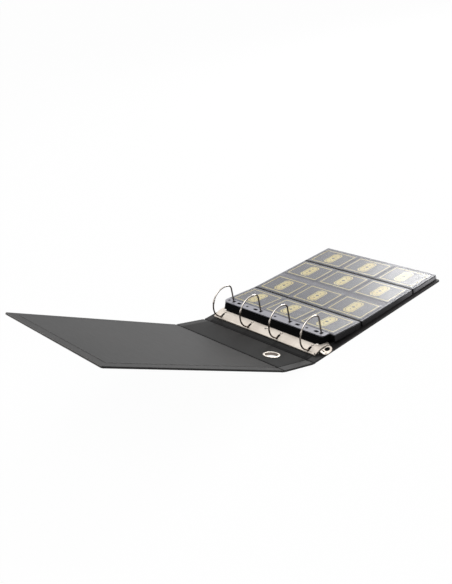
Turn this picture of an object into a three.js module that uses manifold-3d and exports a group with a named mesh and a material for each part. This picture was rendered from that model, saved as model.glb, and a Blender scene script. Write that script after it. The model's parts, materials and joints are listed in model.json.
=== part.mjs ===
// A ring binder for trading cards, lying open: back cover flat, spine and front cover raised to the left.
// Millimetres, +Z up. The origin is the middle of the back cover's underside, +X away from the spine,
// +Y towards the far end of the rings, so the opening lever is at the -Y end.
import * as THREE from "three";
import { mergeVertices } from "three/addons/utils/BufferGeometryUtils.js";
import Module from "manifold-3d";

const wasm = await Module();
wasm.setup();

// Driving dimensions: the case
const coverWidth = 360; // hinge line to free edge
const coverHeight = 304;
const spinePitch = 71; // hinge line to hinge line
const grooveHalfWidth = 5; // hinge line to board edge
const hingeSlit = 0.4; // half the gap left in the wrap at a hinge line
const wrapThickness = 0.5;
const boardThickness = 2;
const turnInThickness = 0.4;
const turnInWidth = 20;
const liningThickness = 0.4;
const liningInset = 17; // from the cover's outer edges
const liningCorner = 2;
const cornerRadius = 4;
const touchGap = 0.3; // between pieces that touch
const spineFold = 17; // degrees, at rest
const coverFold = 12.5; // degrees, at rest, relative to the spine

// Driving dimensions: the finger hole in the spine
const fingerHoleRadius = 12;
const fingerRingFlange = 3.5;
const fingerRingSheet = 0.6;
const fingerHoleFromNearEdge = 69;
const fingerCutReach = 5; // past the panel's faces

// Driving dimensions: the rings
const ringCount = 4;
const ringPitch = 80;
const wireDiameter = 3;
const wireStep = 4; // length of a facet along the wire
const legInset = 57.8; // hinge line of the back cover to the straight legs
const archCentreOffset = 17.8; // from the legs, towards the spine
const archCentreHeight = 30.6;
const archRadius = 34;
const cornerBend = 9; // between leg and arch
const heelRadius = 24; // from the arch's leftmost point down to the foot
const ringSplit = 152; // degrees, where the two halves meet
const ringSplitGap = 0.4;
const heelEnd = 250; // degrees, where the heel meets its foot

// Driving dimensions: the ring housing
const housingOffset = 18.65; // legs to the housing's centre line
const housingHalfWidth = 22;
const housingCrown = 12.6; // height above the back cover's underside
const housingShoulder = 6.4;
const housingSheet = 1.2;
const housingNearEnd = -20; // from ring 1
const housingFarEnd = 259.5;
const neckLength = 9;
const neckHalfWidth = 15;
const legSlotLength = 4.1;
const heelSlotLength = 12;
const slotWidth = 4.2;
const carrierThickness = 0.8;
const neckStraight = 3.6; // of the neck's length, before it widens
const carrierNearGap = 11; // housing end to carrier end
const carrierFarGap = 3;
const carrierNotch = 2; // round a rivet's shank

// Driving dimensions: the opening lever
const leverHalfWidth = 13;
const leverNeckHalfWidth = 7;
const leverSheet = 1.2;
const leverLength = 34; // from ring 1, towards the near end
const leverPinFromEnd = 2.5; // housing end to pin
const leverPinRadius = 1.1;
const leverPinProud = 0.6;
const leverClearance = 1; // housing end to where the lever widens
const leverShoulder = 3; // length over which it widens
const leverTipRound = 7;
const leverWindow = { across: 7, along: 3.6, offset: 3, fromTip: 8.5 };
const leverTailDrop = 1;
const leverCrest = 1; // from the pin, towards the tail
const leverNeckHeight = 9.2;
const leverTipHeight = 5.6;
const leverTail = 5;

// Driving dimensions: small fasteners
const rivetHeadRadius = 3.4;
const rivetHeadHeight = 1.3;
const rivetTopShare = 0.6; // of the head's radius, at its flat top
const rivetShankRadius = 1.6;
const nearRivetFromEnd = 14;
const farRivetFromEnd = 12;
const studRadius = 2.2;
const studOffset = 7.3; // from the housing's centre line
const studHeadHeight = 0.9;
const studShankLength = 2.4;

// Driving dimensions: the leaves
const leafHeight = 288;
const stripLeft = -9.7; // from the legs
const foldLine = 8.5; // legs to the weld line the leaf turns on
const foldGap = 0.4;
const innerSlit = 78.1; // legs to the first pocket slit
const outerSlit = 227.9;
const slitGap = 1.1; // half a slit
const leafRight = 302;
const leafRightHeight = 13.6; // top of the first leaf at its free edge
const outerSlope = 1; // degrees
const innerSlope = 5.8;
const backingThickness = 0.4;
const filmThickness = 0.3;
const cardThickness = 0.4;
const stripThickness = 0.5;
const secondLeafThickness = 1.5;
const pileLeaves = 4;
const pileStripHeight = 12.4; // underside of the pile at the strip's edge
const pileTouchdown = 64.5; // legs to where the pile meets the lining
const holeTowardsSpine = 3.2; // from the leg's centre
const holeTowardsCards = 4.6;
const holeHeight = 6;
const slotHoleWidth = 4.2;
const slotHoleLength = 9;
const slotHoleRound = 2;
const slotHolePlaces = [12.5, 60.1, 175.1, 223.8]; // from ring 1
const roundHolePlaces = [36.5, 120, 199.3, 254];
const roundHoleRadius = 2;
const stripStep = 12; // how much shorter the strip is at its near end
const stripNearCorner = 6;
const stripFarCorner = 13;
const leafSeat = 0.02; // extra room where the second leaf follows the first one's bend
const punchHeight = 60; // above the tallest stack of leaves
const cutHeight = 20; // above the housing
const overcut = 1; // how far a cutter or a joined block runs past its edge
const headOverlap = 0.1; // shank into head

// Driving dimensions: pockets and cards
const columnPlaces = [41.7, 114.5, 191.5, 264.3]; // from the legs
const rowPitch = 94.4;
const rowCount = 3;
const cardWidth = 63;
const cardHeight = 88;
const cardCorner = 3;
const pocketHeight = 90;
const pocketWidth = 64;
const weldWidth = 1.6;

// Places that follow from the sizes above
const hingeX = -coverWidth / 2;
const hingeZ = wrapThickness / 2;
const legX = hingeX + legInset;
const ringPlaces = Array.from({ length: ringCount }, (_, i) => (i - (ringCount - 1) / 2) * ringPitch);
const firstRing = ringPlaces[0];
const boardBottom = wrapThickness + touchGap;
const boardTop = boardBottom + boardThickness;
const turnInBottom = boardTop + touchGap;
const turnInTop = turnInBottom + turnInThickness;
const liningBottom = turnInTop + touchGap;
const liningTop = liningBottom + liningThickness;
const wireRadius = wireDiameter / 2;
const routeStep = 0.1; // between the points that a wire's route is drawn through
const archSteps = 20;
const largeSides = 32;
const mediumSides = 16;
const smallSides = 12;
const housingX = legX - housingOffset;
const housingRise = housingCrown - housingShoulder;
const housingRadius = (housingHalfWidth ** 2 + housingRise ** 2) / (2 * housingRise);
const housingFrom = firstRing + housingNearEnd;
const housingTo = firstRing + housingFarEnd;
const carrierBottom = liningTop + touchGap;
const carrierTop = carrierBottom + carrierThickness;
const carrierHalf = housingHalfWidth - housingSheet - touchGap;
const wireFootHeight = carrierTop + touchGap;

// Finishes
const finish = (color, roughness, metalness = 0) =>
  new THREE.MeshStandardMaterial({ color, roughness, metalness });
const coverFinish = finish(0x4b4a4b, 0.6);
const boardFinish = finish(0x8a8172, 0.9);
const liningFinish = finish(0x343434, 0.7);
const nickelFinish = finish(0xdcd3c9, 0.25, 1);
const plateFinish = finish(0xcfc6bc, 0.3, 1);
const sleeveFinish = finish(0x1d1d1f, 0.5);
const filmFinish = finish(0xa9a9ae, 0.2);
const cardFinish = finish(0xb9b2a2, 0.5);

// A geometry as a solid that can be joined and cut.
function solid(geometry) {
  const bare = geometry.index ? geometry.toNonIndexed() : geometry.clone();
  bare.deleteAttribute("normal");
  bare.deleteAttribute("uv");
  const merged = mergeVertices(bare, 1e-4);
  const mesh = new wasm.Mesh({
    numProp: 3,
    vertProperties: merged.attributes.position.array,
    triVerts: new Uint32Array(merged.index.array),
  });
  return new wasm.Manifold(mesh);
}

// A solid back as a geometry with flat faces.
function geometryOf(body) {
  const made = body.getMesh();
  const geometry = new THREE.BufferGeometry();
  geometry.setAttribute("position", new THREE.BufferAttribute(new Float32Array(made.vertProperties), 3));
  geometry.setIndex(new THREE.BufferAttribute(new Uint32Array(made.triVerts), 1));
  geometry.computeVertexNormals();
  return geometry;
}

// A named piece in a group.
function piece(group, name, body, material) {
  const mesh = new THREE.Mesh(geometryOf(body), material);
  mesh.name = name;
  group.add(mesh);
  return mesh;
}

// A box from its lowest corner to its highest.
function block(x0, y0, z0, x1, y1, z1) {
  const box = new THREE.BoxGeometry(x1 - x0, y1 - y0, z1 - z0);
  box.translate((x0 + x1) / 2, (y0 + y1) / 2, (z0 + z1) / 2);
  return solid(box);
}

// A rectangle whose left and right corners may be rounded, as a plate from z0 to z1.
function plate(x0, y0, x1, y1, z0, z1, leftRadius, rightRadius) {
  const outline = new THREE.Shape();
  outline.moveTo(x0 + leftRadius, y0);
  outline.lineTo(x1 - rightRadius, y0);
  if (rightRadius) outline.absarc(x1 - rightRadius, y0 + rightRadius, rightRadius, -Math.PI / 2, 0);
  outline.lineTo(x1, y1 - rightRadius);
  if (rightRadius) outline.absarc(x1 - rightRadius, y1 - rightRadius, rightRadius, 0, Math.PI / 2);
  outline.lineTo(x0 + leftRadius, y1);
  if (leftRadius) outline.absarc(x0 + leftRadius, y1 - leftRadius, leftRadius, Math.PI / 2, Math.PI);
  outline.lineTo(x0, y0 + leftRadius);
  if (leftRadius) outline.absarc(x0 + leftRadius, y0 + leftRadius, leftRadius, Math.PI, 1.5 * Math.PI);
  const made = new THREE.ExtrudeGeometry(outline, { depth: z1 - z0, bevelEnabled: false, curveSegments: 5 });
  made.translate(0, 0, z0);
  return solid(made);
}

// An upright cylinder.
function post(x, y, z0, z1, radius, sides = 24, topRadius = radius) {
  const made = new THREE.CylinderGeometry(topRadius, radius, z1 - z0, sides);
  made.rotateX(Math.PI / 2);
  made.translate(x, y, (z0 + z1) / 2);
  return solid(made);
}

// A profile in the XZ plane, pushed along Y from y0 to y1.
function profileAlongY(points, y0, y1) {
  const made = new THREE.ExtrudeGeometry(new THREE.Shape(points), { depth: y1 - y0, bevelEnabled: false });
  made.rotateX(Math.PI / 2);
  made.translate(0, y1, 0);
  return solid(made);
}

// Case panels. Each lies in its own frame: its first hinge line at x = 0 and its body towards -x or +x.
const halfHeight = coverHeight / 2;

// A cover panel: hinge line at x = 0, free edge at x = coverWidth.
function coverPanel(group, name) {
  const tray = plate(
    grooveHalfWidth, -halfHeight, coverWidth, halfHeight, 0, turnInTop, 0, cornerRadius,
  );
  const pocket = plate(
    grooveHalfWidth - overcut, -halfHeight + wrapThickness, coverWidth - wrapThickness,
    halfHeight - wrapThickness, wrapThickness, turnInBottom, 0, cornerRadius - wrapThickness,
  );
  const opening = block(
    grooveHalfWidth - overcut, -halfHeight + turnInWidth, turnInBottom - overcut,
    coverWidth - turnInWidth, halfHeight - turnInWidth, turnInTop + overcut,
  );
  const flange = block(hingeSlit, -halfHeight, 0, grooveHalfWidth + overcut, halfHeight, wrapThickness);
  piece(group, name + "_wrap", tray.subtract(pocket).subtract(opening).add(flange), coverFinish);
  const boardInset = wrapThickness + touchGap;
  const board = plate(
    grooveHalfWidth, -halfHeight + boardInset, coverWidth - boardInset, halfHeight - boardInset,
    boardBottom, boardTop, 0, cornerRadius - boardInset,
  );
  piece(group, name + "_board", board, boardFinish);
  const lining = plate(
    grooveHalfWidth, -halfHeight + liningInset, coverWidth - liningInset, halfHeight - liningInset,
    liningBottom, liningTop, 0, liningCorner,
  );
  piece(group, name + "_lining", lining, liningFinish);
}

// The spine panel: its hinge line to the back cover at x = 0, to the front cover at x = spinePitch.
function spinePanel(group) {
  const far = spinePitch - grooveHalfWidth;
  const middle = spinePitch / 2;
  const holeY = -halfHeight + fingerHoleFromNearEdge;
  const ringTube = fingerHoleRadius + fingerRingSheet;
  const collar = ringTube + touchGap + fingerRingSheet;
  const cutTop = liningTop + fingerCutReach;
  const hole = post(middle, holeY, -fingerCutReach, cutTop, collar + touchGap, largeSides);
  const tray = block(grooveHalfWidth, -halfHeight, 0, far, halfHeight, turnInTop);
  const pocket = block(
    grooveHalfWidth - overcut, -halfHeight + wrapThickness, wrapThickness,
    far + overcut, halfHeight - wrapThickness, turnInBottom,
  );
  const opening = block(
    grooveHalfWidth - overcut, -halfHeight + turnInWidth, turnInBottom - overcut,
    far + overcut, halfHeight - turnInWidth, turnInTop + overcut,
  );
  const flange = block(hingeSlit, -halfHeight, 0, spinePitch - hingeSlit, halfHeight, wrapThickness);
  const wrap = tray.subtract(pocket).subtract(opening).add(flange).subtract(hole);
  piece(group, "spine_wrap", wrap, coverFinish);
  const boardInset = wrapThickness + touchGap;
  const board = block(
    grooveHalfWidth, -halfHeight + boardInset, boardBottom, far, halfHeight - boardInset, boardTop,
  );
  piece(group, "spine_board", board.subtract(hole), boardFinish);
  const lining = block(
    grooveHalfWidth, -halfHeight + liningInset, liningBottom, far, halfHeight - liningInset, liningTop,
  );
  piece(group, "spine_lining", lining.subtract(hole), liningFinish);

  // The finger ring: a flanged tube from outside, closed by a flanged collar from inside.
  const bore = post(middle, holeY, -fingerCutReach, cutTop, fingerHoleRadius, largeSides);
  const outerFlange = post(
    middle, holeY, -touchGap - fingerRingSheet, -touchGap, fingerHoleRadius + fingerRingFlange, largeSides,
  );
  const tube = post(middle, holeY, -touchGap - fingerRingSheet, liningTop, ringTube, largeSides);
  piece(group, "thumb_ring_outer", outerFlange.add(tube).subtract(bore), nickelFinish);
  const flangeRadius = fingerHoleRadius + fingerRingFlange;
  const ringTop = liningTop + touchGap + fingerRingSheet;
  const innerFlange = post(
    middle, holeY, liningTop + touchGap, ringTop,
    flangeRadius, largeSides, flangeRadius - fingerRingSheet / 2,
  );
  const collarTube = post(middle, holeY, boardBottom, ringTop, collar, largeSides);
  const collarBore = post(middle, holeY, 0, liningTop + touchGap, ringTube + touchGap, largeSides);
  const inner = innerFlange.add(collarTube).subtract(bore).subtract(collarBore);
  piece(group, "thumb_ring_inner", inner, nickelFinish);
}

// The ring housing, an arched shell, and what is inside it.
function archHeight(offset, radius) {
  return housingCrown - housingRadius + Math.sqrt(radius ** 2 - offset ** 2);
}

// The outline of an arch between two feet, from the left foot over the crown to the right foot.
function archOutline(centreX, halfWidth, radius, foot, steps) {
  const points = [new THREE.Vector2(centreX - halfWidth, foot)];
  for (let i = 0; i <= steps; i++) {
    const offset = -halfWidth + (2 * halfWidth * i) / steps;
    points.push(new THREE.Vector2(centreX + offset, archHeight(offset, radius)));
  }
  points.push(new THREE.Vector2(centreX + halfWidth, foot));
  return points;
}

function ringHousing(group) {
  const inner = housingHalfWidth - housingSheet;
  const outside = archOutline(housingX, housingHalfWidth, housingRadius, carrierBottom, archSteps);
  const inside = archOutline(
    housingX, inner, housingRadius - housingSheet, carrierBottom - overcut, archSteps,
  );
  let shell = profileAlongY(outside, housingFrom, housingTo);
  shell = shell.subtract(profileAlongY(inside, housingFrom - overcut, housingTo + overcut));
  // The near end narrows to a neck round the lever.
  for (const side of [-1, 1]) {
    const notch = new THREE.Shape();
    const edge = housingX + side * neckHalfWidth;
    const past = housingX + side * (housingHalfWidth + 2 * overcut);
    notch.moveTo(edge, housingFrom - overcut);
    notch.lineTo(edge, housingFrom + neckStraight);
    notch.lineTo(past, housingFrom + neckLength);
    notch.lineTo(past, housingFrom - overcut);
    const cut = new THREE.ExtrudeGeometry(notch, { depth: cutHeight, bevelEnabled: false });
    shell = shell.subtract(solid(cut));
  }
  // Two ears hang from the neck and hold the lever's pin.
  for (const side of [-1, 1]) {
    const face = housingX + side * neckHalfWidth;
    const back = face - side * housingSheet;
    const under = archHeight(neckHalfWidth, housingRadius) - housingSheet / 2;
    shell = shell.add(block(
      Math.min(face, back), housingFrom, carrierBottom, Math.max(face, back),
      housingFrom + 2 * leverPinFromEnd, under,
    ));
  }
  for (const y of ringPlaces) {
    shell = shell.subtract(legSlot(y)).subtract(heelSlot(y));
  }
  for (const y of [housingFrom + nearRivetFromEnd, housingTo - farRivetFromEnd]) {
    shell = shell.subtract(post(housingX, y, 0, cutHeight, rivetShankRadius + touchGap, mediumSides));
  }
  const studHole = post(housingX - studOffset, 0, 0, cutHeight, studRadius / 2 + touchGap, smallSides);
  shell = shell.subtract(studHole).subtract(leverPinHole());
  piece(group, "ring_housing", shell, plateFinish);
}

// The slot for a straight leg, long enough for the leg to lean outwards.
function legSlot(y) {
  const from = legX - wireRadius - touchGap;
  return block(from, y - slotWidth / 2, carrierTop, from + legSlotLength, y + slotWidth / 2, cutHeight);
}

// The slot for a heel.
function heelSlot(y) {
  const to = legX - archCentreOffset - archRadius + heelRadius;
  return block(to - heelSlotLength, y - slotWidth / 2, carrierTop, to, y + slotWidth / 2, cutHeight);
}

// The hole through the housing's neck for the lever's pin.
const pinY = housingFrom + leverPinFromEnd;
const pinZ = leverNeckHeight - leverSheet - leverPinRadius;

function crossBar(x0, x1, y, z, radius, sides) {
  const made = new THREE.CylinderGeometry(radius, radius, x1 - x0, sides);
  made.rotateZ(Math.PI / 2);
  made.translate((x0 + x1) / 2, y, z);
  return solid(made);
}

function leverPinHole() {
  const reach = housingHalfWidth + overcut;
  return crossBar(housingX - reach, housingX + reach, pinY, pinZ, leverPinRadius + touchGap, smallSides);
}

// One carrier plate, with a notch round each rivet. side is -1 for the heels' plate, 1 for the legs' plate.
function carrier(group, name, side) {
  const from = housingFrom + carrierNearGap;
  const to = housingTo - carrierFarGap;
  const centre = housingX + (side * touchGap) / 2;
  const edge = housingX + side * carrierHalf;
  let made = block(
    Math.min(centre, edge), from, carrierBottom, Math.max(centre, edge), to, carrierTop,
  );
  for (const y of [housingFrom + nearRivetFromEnd, housingTo - farRivetFromEnd]) {
    made = made.subtract(post(housingX, y, 0, cutHeight, rivetShankRadius + carrierNotch, mediumSides));
  }
  piece(group, name, made, plateFinish);
}

// A route through closely spaced points.
class RingCurve extends THREE.Curve {
  constructor(points) {
    super();
    this.points = points;
  }
  getPoint(t, target = new THREE.Vector3()) {
    const at = t * (this.points.length - 1);
    const i = Math.min(Math.floor(at), this.points.length - 2);
    return target.copy(this.points[i]).lerp(this.points[i + 1], at - i);
  }
}

function wire(points) {
  const section = new THREE.Shape();
  section.absarc(0, 0, wireRadius, 0, 2 * Math.PI);
  const route = new RingCurve(points);
  const made = new THREE.ExtrudeGeometry(section, {
    steps: Math.round(route.getLength() / wireStep),
    extrudePath: route,
    curveSegments: 5,
    bevelEnabled: false,
  });
  return solid(made);
}

// Points up an upright line.
function straightPoints(x, y, z0, z1) {
  const count = Math.round((z1 - z0) / routeStep);
  return Array.from({ length: count }, (_, i) => new THREE.Vector3(x, y, z0 + ((z1 - z0) * i) / count));
}

// Points on an arc about (cx, cz) in the plane y.
function arcPoints(cx, cz, radius, fromDeg, toDeg, y) {
  const count = Math.round((Math.abs(THREE.MathUtils.degToRad(toDeg - fromDeg)) * radius) / routeStep);
  return Array.from({ length: count + 1 }, (_, i) => {
    const angle = THREE.MathUtils.degToRad(fromDeg + ((toDeg - fromDeg) * i) / count);
    return new THREE.Vector3(cx + radius * Math.cos(angle), y, cz + radius * Math.sin(angle));
  });
}

const archX = legX - archCentreOffset;
const bendX = legX - cornerBend;
const bendZ = archCentreHeight + Math.sqrt((archRadius - cornerBend) ** 2 - (bendX - archX) ** 2);
const bendEnd = THREE.MathUtils.radToDeg(Math.atan2(bendZ - archCentreHeight, bendX - archX));
const splitStep = THREE.MathUtils.radToDeg(ringSplitGap / 2 / archRadius);

// The half with the straight leg, from its foot on the carrier round the corner and over the arch.
function legHalf(group, name, y) {
  const points = [
    ...straightPoints(legX, y, wireFootHeight, bendZ),
    ...arcPoints(bendX, bendZ, cornerBend, 0, bendEnd, y),
    ...arcPoints(archX, archCentreHeight, archRadius, bendEnd, ringSplit - splitStep, y).slice(1),
  ];
  piece(group, name, wire(points), nickelFinish);
}

// The half with the curved heel, from the split down to its foot on the carrier.
function heelHalf(group, name, y) {
  const heelX = archX - archRadius + heelRadius;
  const points = [
    ...arcPoints(archX, archCentreHeight, archRadius, ringSplit + splitStep, 180, y),
    ...arcPoints(heelX, archCentreHeight, heelRadius, 180, heelEnd, y).slice(1),
  ];
  const end = points[points.length - 1];
  const foot = post(end.x, y, wireFootHeight, end.z, wireRadius, mediumSides);
  piece(group, name, wire(points).add(foot), nickelFinish);
}

// The opening lever: an arched plate on a pin under the housing's neck, wider and lower towards its tip.
function openingLever(group) {
  const near = firstRing - leverLength;
  const neckEnd = housingFrom - leverClearance;
  const wide = neckEnd - leverShoulder;
  const outline = new THREE.Shape();
  outline.moveTo(housingX - leverNeckHalfWidth, pinY + leverTail);
  outline.lineTo(housingX - leverNeckHalfWidth, neckEnd);
  outline.lineTo(housingX - leverHalfWidth, wide);
  outline.lineTo(housingX - leverHalfWidth, near + leverTipRound);
  outline.quadraticCurveTo(housingX - leverHalfWidth, near, housingX, near);
  outline.quadraticCurveTo(
    housingX + leverHalfWidth, near, housingX + leverHalfWidth, near + leverTipRound,
  );
  outline.lineTo(housingX + leverHalfWidth, wide);
  outline.lineTo(housingX + leverNeckHalfWidth, neckEnd);
  outline.lineTo(housingX + leverNeckHalfWidth, pinY + leverTail);
  const window = new THREE.Path();
  window.absellipse(
    housingX + leverWindow.offset, near + leverWindow.fromTip, leverWindow.across, leverWindow.along,
    0, 2 * Math.PI,
  );
  outline.holes.push(window);
  const flat = new THREE.ExtrudeGeometry(
    outline, { depth: cutHeight, bevelEnabled: false, curveSegments: 8 },
  );
  // The sheet's side profile: level under the neck, then falling to the tip.
  const top = [
    [pinY + leverTail, leverNeckHeight - leverTailDrop],
    [pinY + leverCrest, leverNeckHeight],
    [wide, leverNeckHeight],
    [near, leverTipHeight],
  ];
  const side = new THREE.Shape();
  top.forEach(([y, z], i) => (i ? side.lineTo(y, z) : side.moveTo(y, z)));
  top.reverse().forEach(([y, z]) => side.lineTo(y, z - leverSheet));
  const sheet = new THREE.ExtrudeGeometry(
    side, { depth: 2 * (leverHalfWidth + overcut), bevelEnabled: false },
  );
  sheet.rotateX(Math.PI / 2);
  sheet.rotateZ(Math.PI / 2);
  sheet.translate(housingX - leverHalfWidth - overcut, 0, 0);
  // A sleeve round the pin, open at both ends.
  const sleeve = crossBar(
    housingX - leverNeckHalfWidth, housingX + leverNeckHalfWidth, pinY, pinZ,
    leverPinRadius + touchGap + leverSheet / 2, mediumSides,
  );
  const bore = crossBar(
    housingX - leverHalfWidth, housingX + leverHalfWidth, pinY, pinZ, leverPinRadius + touchGap, mediumSides,
  );
  const made = solid(sheet).intersect(solid(flat)).add(sleeve).subtract(bore);
  piece(group, "opening_lever", made, plateFinish);
}

// A domed rivet through the housing's crown, down to the lining.
function rivet(group, name, y) {
  const seat = housingCrown + touchGap;
  const head = post(
    housingX, y, seat, seat + rivetHeadHeight, rivetHeadRadius, mediumSides,
    rivetHeadRadius * rivetTopShare,
  );
  const shank = post(housingX, y, liningTop + touchGap, seat + headOverlap, rivetShankRadius, mediumSides);
  piece(group, name, head.add(shank), nickelFinish);
}

// A leaf's top surface above the back cover, at a distance from the legs.
const slopeOut = Math.tan(THREE.MathUtils.degToRad(outerSlope));
const slopeIn = Math.tan(THREE.MathUtils.degToRad(innerSlope));
const slitHeight = leafRightHeight + (leafRight - innerSlit) * slopeOut;
const pocketStack = backingThickness + touchGap + cardThickness + touchGap + filmThickness;
const halfLeaf = leafHeight / 2;

// Punched holes for the rings, in the frame of the legs.
function punch(body, x, from, to) {
  let cut = body;
  for (const y of ringPlaces) {
    cut = cut.subtract(block(
      x - holeTowardsSpine, y - holeHeight / 2, from, x + holeTowardsCards, y + holeHeight / 2, to,
    ));
  }
  return cut;
}

// A cutter that rounds a leaf's left corner: side is -1 at the strip's near end, 1 at its far end.
function leftCorner(left, side, radius) {
  const end = side > 0 ? halfLeaf : -halfLeaf + stripStep;
  const inside = end - side * radius;
  const past = end + side * overcut;
  const square = block(
    left - overcut, Math.min(inside, past), -overcut, left + radius, Math.max(inside, past), punchHeight,
  );
  return square.subtract(
    post(left + radius, inside, -2 * overcut, punchHeight + overcut, radius, largeSides),
  );
}

// The first leaf's group lies in a frame whose origin is on the fold line, at the backing's underside.
const foldHeight = slitHeight + (innerSlit - foldLine) * slopeIn - pocketStack / Math.cos(
  THREE.MathUtils.degToRad(innerSlope),
);

// The punched strip on the rings.
function leafStrip(group) {
  const left = stripLeft - foldLine;
  let strip = plate(
    left, -halfLeaf + stripStep, -foldGap, halfLeaf, 0, stripThickness, stripNearCorner, 0,
  );
  strip = strip.subtract(leftCorner(left, 1, stripFarCorner));
  strip = punch(strip, -foldLine, -overcut, stripThickness + overcut);
  for (const place of slotHolePlaces) {
    const y = firstRing + place;
    strip = strip.subtract(plate(
      -foldLine - slotHoleWidth / 2, y - slotHoleLength / 2, -foldLine + slotHoleWidth / 2,
      y + slotHoleLength / 2, -overcut, stripThickness + overcut, slotHoleRound, slotHoleRound,
    ));
  }
  for (const place of roundHolePlaces) {
    strip = strip.subtract(post(
      -foldLine, firstRing + place, -overcut, stripThickness + overcut, roundHoleRadius, mediumSides,
    ));
  }
  piece(group, "leaf_1_strip", strip, sleeveFinish);
}

const rowPlaces = Array.from({ length: rowCount }, (_, i) => (i - (rowCount - 1) / 2) * rowPitch);

// One backing sheet of a leaf panel.
function backing(group, name, from, to) {
  piece(group, name, block(from, -halfLeaf, 0, to, halfLeaf, backingThickness), sleeveFinish);
}

// A clear film over one stretch of pockets, welded down round each pocket and open at the pocket's mouth.
// A column has its middle x and the side its mouth is on.
function film(group, name, from, to, columns) {
  const low = backingThickness + touchGap;
  const high = pocketStack;
  let sheet = block(from, -halfLeaf + weldWidth, low, to, halfLeaf - weldWidth, high);
  for (const column of columns) {
    for (const y of rowPlaces) {
      const left = column.mouth < 0 ? from - overcut : column.x - pocketWidth / 2;
      const right = column.mouth > 0 ? to + overcut : column.x + pocketWidth / 2;
      sheet = sheet.subtract(block(
        left, y - pocketHeight / 2, low - overcut, right, y + pocketHeight / 2, high - filmThickness,
      ));
    }
  }
  piece(group, name, sheet, filmFinish);
}

// The cards of one column, numbered from the near row.
function cards(group, column, number) {
  const low = backingThickness + touchGap;
  rowPlaces.forEach((y, row) => {
    const card = plate(
      column - cardWidth / 2, y - cardHeight / 2, column + cardWidth / 2, y + cardHeight / 2,
      low, low + cardThickness, cardCorner, cardCorner,
    );
    piece(group, "leaf_1_card_" + (row + 1) + "_" + number, card, cardFinish);
  });
}

// A leaf of the pile as one closed wedge: heights of its top and underside at four distances from the legs.
function pileLeaf(group, name, stations, tops, undersides) {
  const outline = [
    ...stations.map((x, i) => new THREE.Vector2(legX + x, undersides[i])),
    ...stations.map((x, i) => new THREE.Vector2(legX + x, tops[i])).reverse(),
  ];
  const body = profileAlongY(outline, -halfLeaf, halfLeaf);
  const step = block(
    legX + stripLeft - overcut, -halfLeaf - overcut, 0,
    legX + foldLine - foldGap, -halfLeaf + stripStep, punchHeight,
  );
  const left = legX + stripLeft;
  const corners = leftCorner(left, -1, stripNearCorner).add(leftCorner(left, 1, stripFarCorner));
  const made = punch(body, legX, 0, punchHeight).subtract(step).subtract(corners);
  piece(group, name, made, sleeveFinish);
}

const binder = new THREE.Group();

// The back cover, with the ring mechanism on it
const backCover = new THREE.Group();
backCover.position.set(hingeX, 0, 0);
coverPanel(backCover, "back");
binder.add(backCover);
ringHousing(binder);
carrier(binder, "left_carrier_plate", -1);
carrier(binder, "right_carrier_plate", 1);
ringPlaces.forEach((y, i) => {
  heelHalf(binder, "ring_" + (i + 1) + "_left", y);
  legHalf(binder, "ring_" + (i + 1) + "_right", y);
});
openingLever(binder);
const pinHalf = neckHalfWidth + leverPinProud;
piece(
  binder, "lever_pin",
  crossBar(housingX - pinHalf, housingX + pinHalf, pinY, pinZ, leverPinRadius, smallSides),
  nickelFinish,
);
rivet(binder, "near_rivet", housingFrom + nearRivetFromEnd);
rivet(binder, "far_rivet", housingTo - farRivetFromEnd);
const studSeat = archHeight(studOffset, housingRadius) + touchGap;
const studHead = post(
  housingX - studOffset, 0, studSeat, studSeat + studHeadHeight,
  studRadius, mediumSides, studRadius * rivetTopShare,
);
const studShank = post(
  housingX - studOffset, 0, studSeat - studShankLength, studSeat + headOverlap, studRadius / 2, smallSides,
);
piece(binder, "centre_stud", studHead.add(studShank), nickelFinish);

// The spine, turned up about the back cover's hinge line, and the front cover about the spine's
const spine = new THREE.Group();
spine.position.set(hingeX, 0, hingeZ);
spine.rotation.y = THREE.MathUtils.degToRad(spineFold);
const spineBody = new THREE.Group();
spineBody.position.set(-spinePitch, 0, -hingeZ);
spinePanel(spineBody);
spine.add(spineBody);
const frontFold = new THREE.Group();
frontFold.position.set(-spinePitch, 0, 0);
frontFold.rotation.y = THREE.MathUtils.degToRad(coverFold);
const frontCover = new THREE.Group();
frontCover.rotation.z = Math.PI;
frontCover.position.set(0, 0, -hingeZ);
coverPanel(frontCover, "front");
frontFold.add(frontCover);
spine.add(frontFold);
binder.add(spine);

// The first leaf: strip and inner pockets share one slope, the outer pockets bend at the slit
const inner = new THREE.Group();
inner.position.set(legX + foldLine, 0, foldHeight);
inner.rotation.y = THREE.MathUtils.degToRad(innerSlope);
leafStrip(inner);
const innerTo = (innerSlit - foldLine) / Math.cos(THREE.MathUtils.degToRad(innerSlope)) - slitGap;
backing(inner, "leaf_1_inner_backing", foldGap, innerTo);
film(inner, "leaf_1_inner_film", foldGap, innerTo, [{ x: columnPlaces[0] - foldLine, mouth: 1 }]);
cards(inner, columnPlaces[0] - foldLine, 1);
binder.add(inner);
const outer = new THREE.Group();
outer.position.set(legX + innerSlit, 0, slitHeight - pocketStack);
outer.rotation.y = THREE.MathUtils.degToRad(outerSlope);
const outerTo = leafRight - innerSlit;
backing(outer, "leaf_1_outer_backing", slitGap, outerTo);
const secondSlit = outerSlit - innerSlit;
const [, second, third, fourth] = columnPlaces.map((x) => x - innerSlit);
film(outer, "leaf_1_middle_film", slitGap, secondSlit - slitGap, [
  { x: second, mouth: -1 },
  { x: third, mouth: 1 },
]);
film(outer, "leaf_1_right_film", secondSlit + slitGap, outerTo, [{ x: fourth, mouth: -1 }]);
[second, third, fourth].forEach((column, i) => cards(outer, column, i + 2));
binder.add(outer);

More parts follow.
